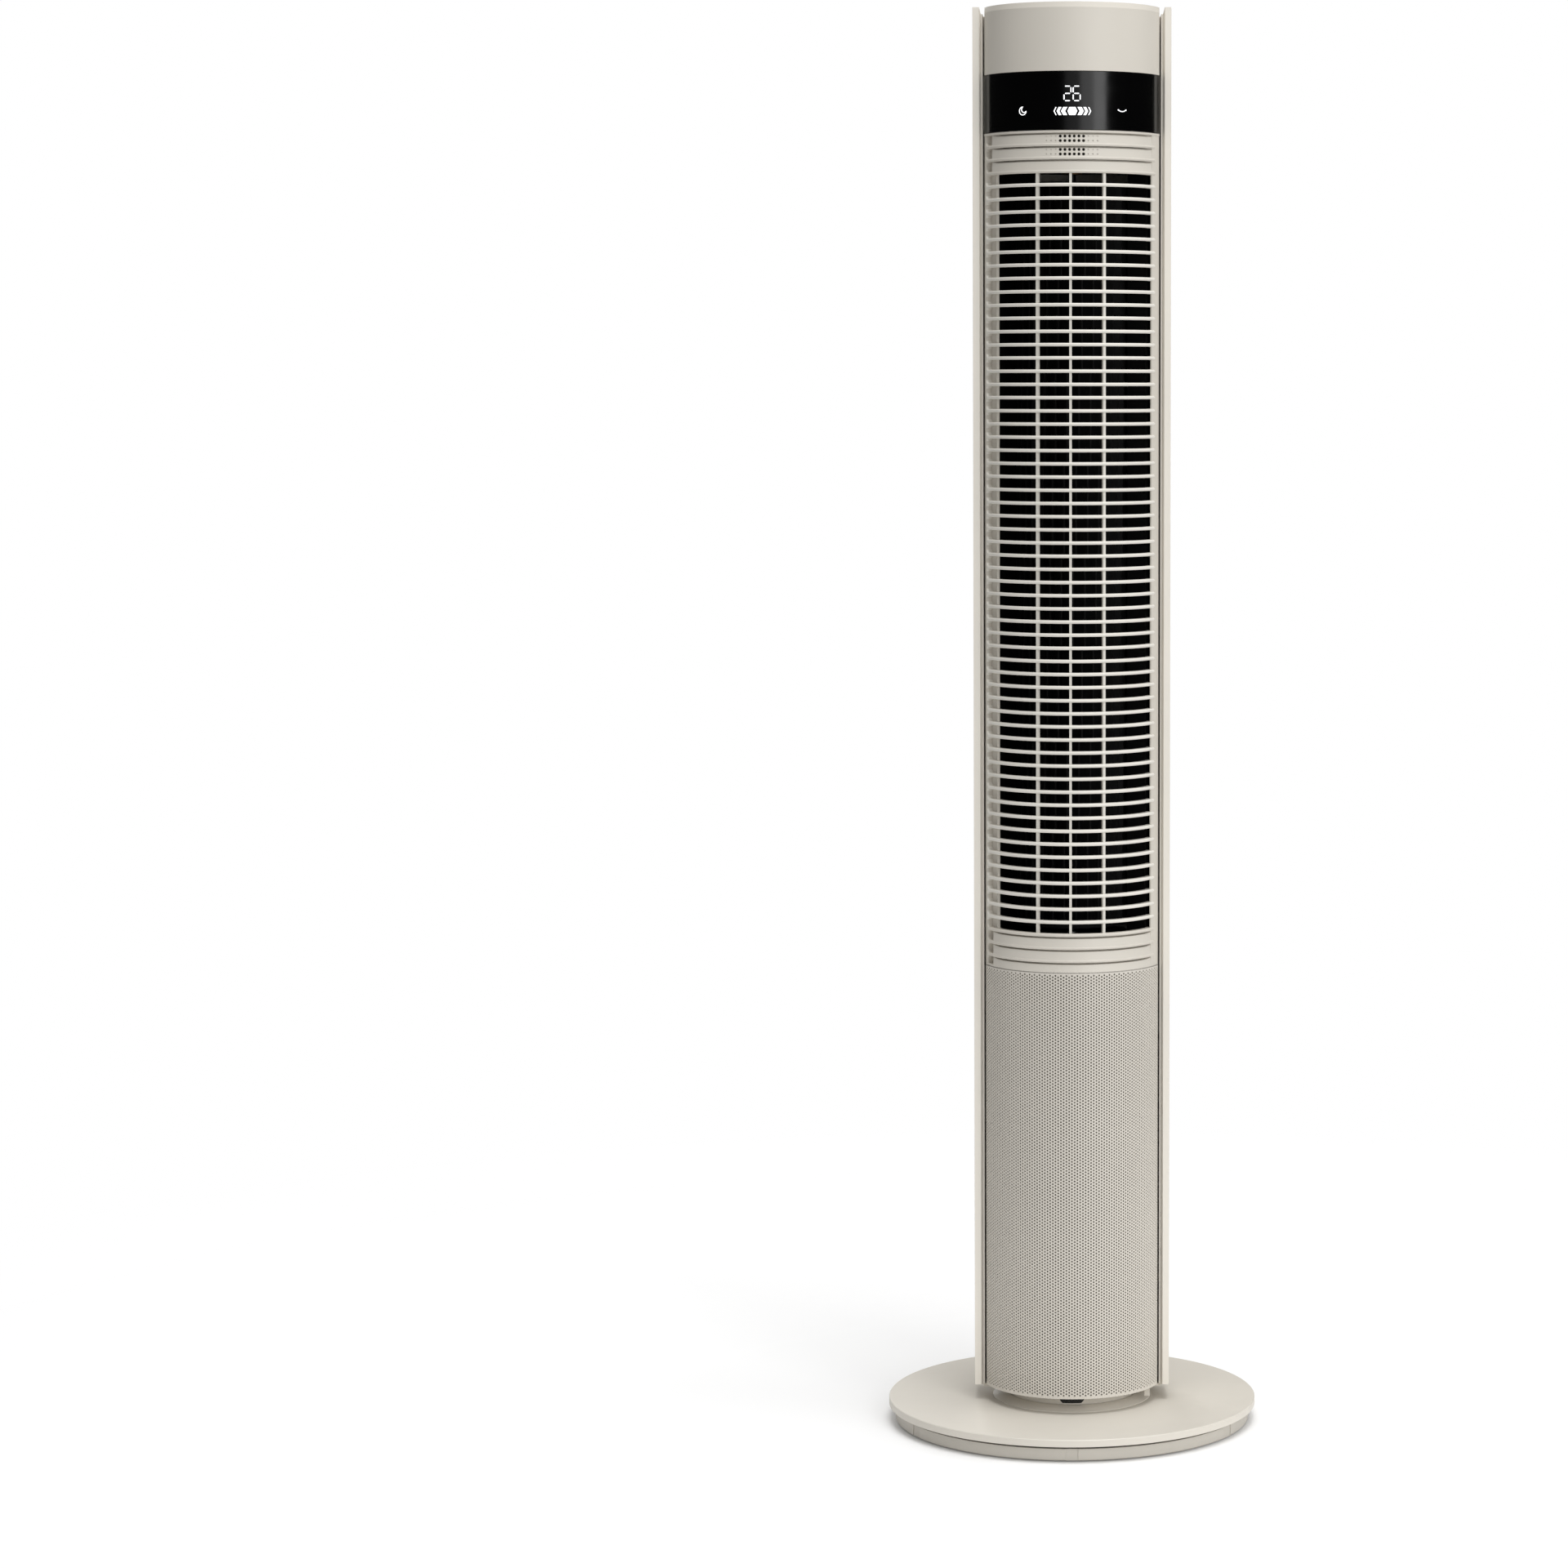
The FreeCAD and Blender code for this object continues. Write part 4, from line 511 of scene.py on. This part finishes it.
class Sheet:
    """The curved face of part of the panel, from one column of holes up to another."""

    def __init__(self, first_column, last_column):
        self.vertices = []
        self.faces = []
        self.index = {}
        self.columns = range(first_column, last_column)

    def point(self, u, z):
        key = (round(u * WELD), round(z * WELD))
        if key not in self.index:
            self.index[key] = len(self.vertices)
            self.vertices.append(round_front(SKIN, u / SKIN, z))
        return self.index[key]

    def quad(self, corners, forward):
        made = [self.point(u, z) for u, z in corners]
        self.faces.append(tuple(made if forward else reversed(made)))

    def cells(self):
        """A ring of six faces round every hole."""
        for column in self.columns:
            for row in range(ROWS):
                u, z = hole_centre(column, row)
                outer = [self.point(u + du, z + share * HOLE_PITCH) for du, share in CELL]
                inner = [self.point(u + du, z + dz) for du, dz in CORNERS]
                for k in range(6):
                    after = (k + 1) % 6
                    self.faces.append((outer[k], outer[after], inner[after], inner[k]))

    def level_borders(self):
        """Plain borders below the lowest holes and above the highest."""
        for row, end, side in ((0, PANEL_LOW.z, -0.5), (ROWS - 1, PANEL_HIGH.z, 0.5)):
            for column in self.columns:
                u, z = hole_centre(column, row)
                z += side * HOLE_PITCH
                self.quad([(u - THIRD, z), (u + THIRD, z), (u + THIRD, end), (u - THIRD, end)], side > 0)
                if column + 1 < COLUMNS:
                    u2, z2 = hole_centre(column + 1, row)
                    z2 += side * HOLE_PITCH
                    self.quad([(u + THIRD, z), (u2 - THIRD, z2), (u2 - THIRD, end), (u + THIRD, end)],
                              side > 0)

    def upright_borders(self):
        """Plain borders beside the outermost columns."""
        for column, side in ((0, -1), (COLUMNS - 1, 1)):
            if column not in self.columns:
                continue
            edge = side * PANEL_TURN * SKIN
            line = [(hole_centre(column, 0)[0] + side * THIRD, PANEL_LOW.z)]
            for row in range(ROWS):
                u, z = hole_centre(column, row)
                line += [(u + side * THIRD, z - HOLE_PITCH / 2), (u + side * 2 * THIRD, z)]
            line += [(line[0][0], z + HOLE_PITCH / 2), (line[0][0], PANEL_HIGH.z)]
            for (u1, z1), (u2, z2) in zip(line, line[1:]):
                self.quad([(u1, z1), (edge, z1), (edge, z2), (u2, z2)], side > 0)

    def thickened(self):
        """Vertices and faces of the closed solid: the face, a back, and a wall along every open edge."""
        count = len(self.vertices)
        inward = (SKIN - SHEET) / SKIN
        edges = [edge for face in self.faces for edge in zip(face, face[1:] + face[:1])]
        used = set(edges)
        walls = [(end, start, start + count, end + count)
                 for start, end in edges if (end, start) not in used]
        backs = [tuple(corner + count for corner in reversed(face)) for face in self.faces]
        deep = [(x * inward, y * inward, z) for x, y, z in self.vertices]
        return self.vertices + deep, self.faces + backs + walls


def make_perforated_panel():
    """The perforated sheet, in three parts side by side."""
    for side, first_column, last_column in zip(("left", "middle", "right"), PARTS, PARTS[1:]):
        sheet = Sheet(first_column, last_column)
        sheet.cells()
        sheet.level_borders()
        sheet.upright_borders()
        add_piece("perforated_panel_" + side, *sheet.thickened(), "shell", PANEL, ["lower_panel"])


EDGE_BACK = 0.0681      # back of the sheet's edges and of the grey sheet behind its holes
EDGE_FRONT = SKIN - 0.00002
LOW_EDGE, HIGH_EDGE = 0.0010, 0.0005
SHADOW_LINE_FRONT = 0.0694
HOLE_SHADE_FRONT = 0.0686
HOLE_SHADE_MARGIN = 0.0011


def make_panel_backing():
    """The sheet's lower and upper edges, a set-back line above it, and a grey sheet behind its holes that is
    painted shade for what is seen through them.
    """
    turns = spread(-PANEL_TURN, PANEL_TURN, 49)
    low, high = PANEL_LOW.z, PANEL_HIGH.z
    edges = Builder()
    edges.sweep(oblong(EDGE_BACK, EDGE_FRONT, low, low + LOW_EDGE), turns)
    edges.sweep(oblong(EDGE_BACK, EDGE_FRONT, high - HIGH_EDGE, high), turns)
    edges.sweep(oblong(EDGE_BACK, SHADOW_LINE_FRONT, high, high + HIGH_EDGE), turns)
    edges.piece("panel_edges", "shell", SHELL, smooth=SOFT)
    hole_shade = Builder()
    hole_shade.sweep(oblong(EDGE_BACK, HOLE_SHADE_FRONT, low + HOLE_SHADE_MARGIN, high - HOLE_SHADE_MARGIN), turns)
    hole_shade.piece("panel_hole_shade_sheet", "black_plastic", HOLE_SHADE_SHEET, smooth=SOFT)


make_perforated_panel()
make_panel_backing()


# --------------------------------------------------------------------------- base
# A black ring on the locating wall in the gap between the disc and the tray: painted shadow that darkens the
# gap.
SHADOW_RING_INNER, SHADOW_RING_OUTER = 0.13602, 0.1366
SHADOW_RING_LOW, SHADOW_RING_HIGH = 0.0104, 0.0127

shadow_ring = Builder()
shadow_ring.sweep(oblong(SHADOW_RING_INNER, SHADOW_RING_OUTER, SHADOW_RING_LOW, SHADOW_RING_HIGH), full_circle(144), ring=True)
shadow_ring.piece("base_painted_shadow_ring", "rubber", SLOTS["rubber"], smooth=SOFT, body="base")


# --------------------------------------------------------------------------- lit figures
FACE = 0.07015          # the figures start just inside the window's surface
FIGURE_THICKNESS = 0.00027
DIGITS = (("abged", -0.0033), ("afgedc", 0.0036))       # lit bars of each digit, and its place across
DIGITS_HEIGHT = 1.0294
SPEED_TURN, SPEED_HEIGHT = math.radians(0.3), 1.0163
SPEED_HALF_TALL = 0.0030
HEXAGON_POINT, HEXAGON_SHOULDER = 0.0037, 0.0023
CHEVRONS = ((0.0038, 0.0086, 0.0017), (0.0082, 0.0119, 0.0016), (0.0119, 0.0142, 0.0015))
MOON_TURN, MOON_HEIGHT, MOON_LINE = math.radians(-31.8), 1.0170, 0.00062
SWING_TURN, SWING_HEIGHT, SWING_LINE = math.radians(32.6), 1.0172, 0.0006
ARC_HALF_WIDTH, ARC_TOP, ARC_SAG = 0.0033, 0.00045, 0.0011
DOT_PLACE, DOT_RISE, DOT_RADIUS = 0.0034, 0.0005, 0.0005


class Figure(Builder):
    """Thin solids laid on the round display, drawn in metres across and up from one spot on it."""

    def __init__(self, turn, height):
        super().__init__()
        self.turn = turn
        self.height = height

    def lay(self, loop):
        """Adds a loop of points at the back and again at the front; returns where each set starts."""
        back = len(self.vertices)
        for radius in (FACE, FACE + FIGURE_THICKNESS):
            self.vertices += [round_front(radius, self.turn + u / FACE, self.height + v) for u, v in loop]
        return back, back + len(loop)

    def shape(self, outline):
        """A solid with one outline, whichever way round the outline runs."""
        area = sum(x1 * y2 - x2 * y1 for (x1, y1), (x2, y2) in zip(outline, outline[1:] + outline[:1]))
        count = len(outline)
        back, front = self.lay(outline if area > 0 else outline[::-1])
        self.faces.append(tuple(range(front, front + count)))
        self.faces.append(tuple(range(front - 1, back - 1, -1)))
        for k in range(count):
            after = (k + 1) % count
            self.faces.append((back + k, back + after, front + after, front + k))

    def band(self, outer, inner):
        """A closed line between two loops that both run anticlockwise."""
        count = len(outer)
        outer_back, outer_front = self.lay(outer)
        inner_back, inner_front = self.lay(inner)
        for k in range(count):
            after = (k + 1) % count
            self.faces.append((outer_front + k, outer_front + after, inner_front + after, inner_front + k))
            self.faces.append((outer_back + k, inner_back + k, inner_back + after, outer_back + after))
            self.faces.append((outer_back + k, outer_back + after, outer_front + after, outer_front + k))
            self.faces.append((inner_back + k, inner_front + k, inner_front + after, inner_back + after))

    def finish(self, name):
        self.piece(name, "lit_figures", SLOTS["lit_figures"])


def figure(name, outlines, turn, height):
    """Solids of the given outlines at one spot of the display."""
    made = Figure(turn, height)
    for outline in outlines:
        made.shape(outline)
    made.finish(name)


def bar(x1, y1, x2, y2, width):
    """One bar of a digit, pointed at both ends."""
    length = math.hypot(x2 - x1, y2 - y1)
    half = width / 2
    ux, uy = (x2 - x1) / length, (y2 - y1) / length
    nx, ny = -uy * half, ux * half
    return [(x1, y1), (x1 + ux * half + nx, y1 + uy * half + ny),
            (x2 - ux * half + nx, y2 - uy * half + ny), (x2, y2),
            (x2 - ux * half - nx, y2 - uy * half - ny), (x1 + ux * half - nx, y1 + uy * half - ny)]


def digit(segments, centre):
    """A seven-bar digit; segments are named a to g in the usual order."""
    w, h, gap, width = 0.0026, 0.0054, 0.00062, 0.00085
    ends = {
        "a": (-w + gap, h, w - gap, h),
        "b": (w, gap, w, h - gap),
        "c": (w, -h + gap, w, -gap),
        "d": (-w + gap, -h, w - gap, -h),
        "e": (-w, -h + gap, -w, -gap),
        "f": (-w, gap, -w, h - gap),
        "g": (-w + gap, 0, w - gap, 0),
    }
    return [[(x + centre, y) for x, y in bar(*ends[name], width)] for name in segments]


def chevron(inner, outer, notch, side):
    """An arrow-shaped bar pointing away from the middle; side is 1 to the right and -1 to the left."""
    points = [(inner, SPEED_HALF_TALL), (outer - notch, SPEED_HALF_TALL), (outer, 0),
              (outer - notch, -SPEED_HALF_TALL), (inner, -SPEED_HALF_TALL), (inner + notch, 0)]
    return [(side * x, y) for x, y in points]


def line_sides(points, width, closed):
    """The left and the right side of a line of even width."""
    count = len(points)
    left, right = [], []
    for k, (x, y) in enumerate(points):
        before = points[(k - 1) % count] if closed or k else points[k]
        after = points[(k + 1) % count] if closed or k + 1 < count else points[k]
        dx, dy = after[0] - before[0], after[1] - before[1]
        half = width / 2 / (math.hypot(dx, dy) or 1.0)
        left.append((x - dy * half, y + dx * half))
        right.append((x + dy * half, y - dx * half))
    return left, right


def crescent():
    """Outline of a moon that opens to the upper right; horn is half the angle between its tips."""
    tilt, horn, radius, shift = math.radians(42), 0.80, 0.0030, 0.001523
    outer = [(radius * math.cos(a), radius * math.sin(a))
             for a in spread(tilt + horn, tilt + 2 * math.pi - horn, 22)]
    centre = (shift * math.cos(tilt), shift * math.sin(tilt))
    start = math.atan2(outer[-1][1] - centre[1], outer[-1][0] - centre[0])
    end = math.atan2(outer[0][1] - centre[1], outer[0][0] - centre[0])
    bite = math.hypot(outer[0][0] - centre[0], outer[0][1] - centre[1])
    if end > start:
        end -= 2 * math.pi
    inner = [(centre[0] + bite * math.cos(a), centre[1] + bite * math.sin(a))
             for a in spread(start, end, 14)]
    return outer + inner[1:-1]


def dot(x, y, radius):
    return [(x + radius * math.cos(a), y + radius * math.sin(a)) for a in full_circle(12)]


def make_digits():
    outlines = [outline for segments, place in DIGITS for outline in digit(segments, place)]
    figure("display_digits", outlines, 0.0, DIGITS_HEIGHT)


def make_speed():
    """A hexagon with three chevrons on each side."""
    outlines = [[(-HEXAGON_SHOULDER, SPEED_HALF_TALL), (HEXAGON_SHOULDER, SPEED_HALF_TALL),
                 (HEXAGON_POINT, 0), (HEXAGON_SHOULDER, -SPEED_HALF_TALL),
                 (-HEXAGON_SHOULDER, -SPEED_HALF_TALL), (-HEXAGON_POINT, 0)]]
    for side in (-1, 1):
        outlines += [chevron(inner, outer, notch, side) for inner, outer, notch in CHEVRONS]
    figure("display_speed", outlines, SPEED_TURN, SPEED_HEIGHT)


def make_moon():
    moon = Figure(MOON_TURN, MOON_HEIGHT)
    inner, outer = line_sides(crescent(), MOON_LINE, closed=True)
    moon.band(outer, inner)
    moon.finish("display_moon")


def make_swing():
    """A shallow arc with a dot at each end."""
    arc = [(ARC_HALF_WIDTH * t, ARC_TOP - ARC_SAG * (1 - t * t)) for t in spread(-1, 1, 9)]
    left, right = line_sides(arc, SWING_LINE, closed=False)
    dots = [dot(side * DOT_PLACE, DOT_RISE, DOT_RADIUS) for side in (-1, 1)]
    figure("display_swing", [left + right[::-1], *dots], SWING_TURN, SWING_HEIGHT)


make_digits()
make_speed()
make_moon()
make_swing()


# --------------------------------------------------------------------------- floor, lights, camera
FLOOR_RADIUS = 1.3
FLOOR_FADE = (0.35, 1.25)       # distances from the middle where the floor is full and where it is gone
FLOOR_GLOW = 0.04
AMBIENT = 0.36
MIRRORED_WORLD = 0.02
LIGHTS_AIM = Vector((0, 0, 0.6))
CAMERA_PLACE = (0, -3.151, 0.812)
CAMERA_PITCH = math.radians(90 - 4.749)
FOCAL_LENGTH, SENSOR_WIDTH = 93.279, 36
SHIFT_X, SHIFT_Y = -0.1836, -0.04
CLIP = (0.1, 60)


def studio_floor():
    """Pale paper under the object; its edge melts into the white backdrop."""
    mesh = bpy.data.meshes.new("floor")
    rim = [(FLOOR_RADIUS * math.cos(a), FLOOR_RADIUS * math.sin(a), 0) for a in full_circle(64)]
    mesh.from_pydata(rim, [], [tuple(range(len(rim)))])
    floor = bpy.data.objects.new("floor", mesh)
    bpy.context.scene.collection.objects.link(floor)
    paint = Paint("floor_paper", (0.90, 0.90, 0.90), 0.9)
    paint.tint(paint.noise(1.5), 0.995, 1.005)
    paint.set("Specular IOR Level", 0.0)
    paint.set("Emission Color", (1, 1, 1, 1))
    paint.set("Emission Strength", FLOOR_GLOW)
    reach = paint.node("ShaderNodeVectorMath", operation="LENGTH")
    paint.link(paint.place, reach.inputs[0])
    paint.link(paint.ramp(reach.outputs["Value"], *FLOOR_FADE, 1.0, 0.0), paint.shader.inputs["Alpha"])
    mesh.materials.append(paint.material)


def softbox(name, azimuth, distance, height, width, tall, radiance, mirrored=True):
    """A soft light that faces the object; azimuth is in degrees from the front to the right."""
    light = bpy.data.lights.new(name, "AREA")
    light.shape = "RECTANGLE"
    light.size = width
    light.size_y = tall
    light.energy = radiance * math.pi * width * tall
    lamp = bpy.data.objects.new(name, light)
    bpy.context.scene.collection.objects.link(lamp)
    turn = math.radians(azimuth)
    lamp.location = (distance * math.sin(turn), -distance * math.cos(turn), height)
    lamp.rotation_euler = (LIGHTS_AIM - lamp.location).to_track_quat("-Z", "Y").to_euler()
    lamp.visible_camera = False
    lamp.visible_glossy = mirrored


def studio_lights():
    """Three lights side by side, bright to dim, that the display mirrors as a soft band, and fill."""
    key = {"distance": 3.2, "height": 1.35, "tall": 2.6}
    softbox("key_bright", azimuth=35.0, width=0.90, radiance=3.6, **key)
    softbox("key_mid", azimuth=18.5, width=0.95, radiance=1.8, **key)
    softbox("key_dim", azimuth=0.0, width=0.95, radiance=0.45, **key)
    softbox("side", azimuth=80.0, distance=3.4, height=1.2, width=1.4, tall=2.4, radiance=1.7,
            mirrored=False)
    softbox("top", azimuth=30.0, distance=0.8, height=5.2, width=3.0, tall=3.0, radiance=6.2)
    softbox("back", azimuth=200.0, distance=3.4, height=1.6, width=1.6, tall=2.4, radiance=2.6)


def studio_world():
    """White behind the object, even soft light on it, and little in its reflections."""
    white = (1, 1, 1, 1)
    world = bpy.data.worlds.new("studio")
    bpy.context.scene.world = world
    world.use_nodes = True
    tree = world.node_tree
    path = tree.nodes.new("ShaderNodeLightPath")
    blend = tree.nodes["Background"].outputs[0]
    tree.nodes["Background"].inputs["Color"].default_value = white
    tree.nodes["Background"].inputs["Strength"].default_value = AMBIENT
    for ray, strength in (("Is Glossy Ray", MIRRORED_WORLD), ("Is Camera Ray", 1.0)):
        shade = tree.nodes.new("ShaderNodeBackground")
        shade.inputs["Color"].default_value = white
        shade.inputs["Strength"].default_value = strength
        mix = tree.nodes.new("ShaderNodeMixShader")
        tree.links.new(path.outputs[ray], mix.inputs["Fac"])
        tree.links.new(blend, mix.inputs[1])
        tree.links.new(shade.outputs[0], mix.inputs[2])
        blend = mix.outputs[0]
    tree.links.new(blend, tree.nodes["World Output"].inputs["Surface"])


def studio_camera():
    """A long lens a little above the middle; the shifts place the object in the frame."""
    data = bpy.data.cameras.new("camera")
    data.lens = FOCAL_LENGTH
    data.sensor_width = SENSOR_WIDTH
    data.shift_x = SHIFT_X
    data.shift_y = SHIFT_Y
    data.clip_start, data.clip_end = CLIP
    camera = bpy.data.objects.new("camera", data)
    bpy.context.scene.collection.objects.link(camera)
    camera.location = CAMERA_PLACE
    camera.rotation_euler = (CAMERA_PITCH, 0, 0)
    bpy.context.scene.camera = camera


studio_floor()
studio_world()
studio_lights()
studio_camera()
bpy.context.scene.view_settings.view_transform = "Standard"
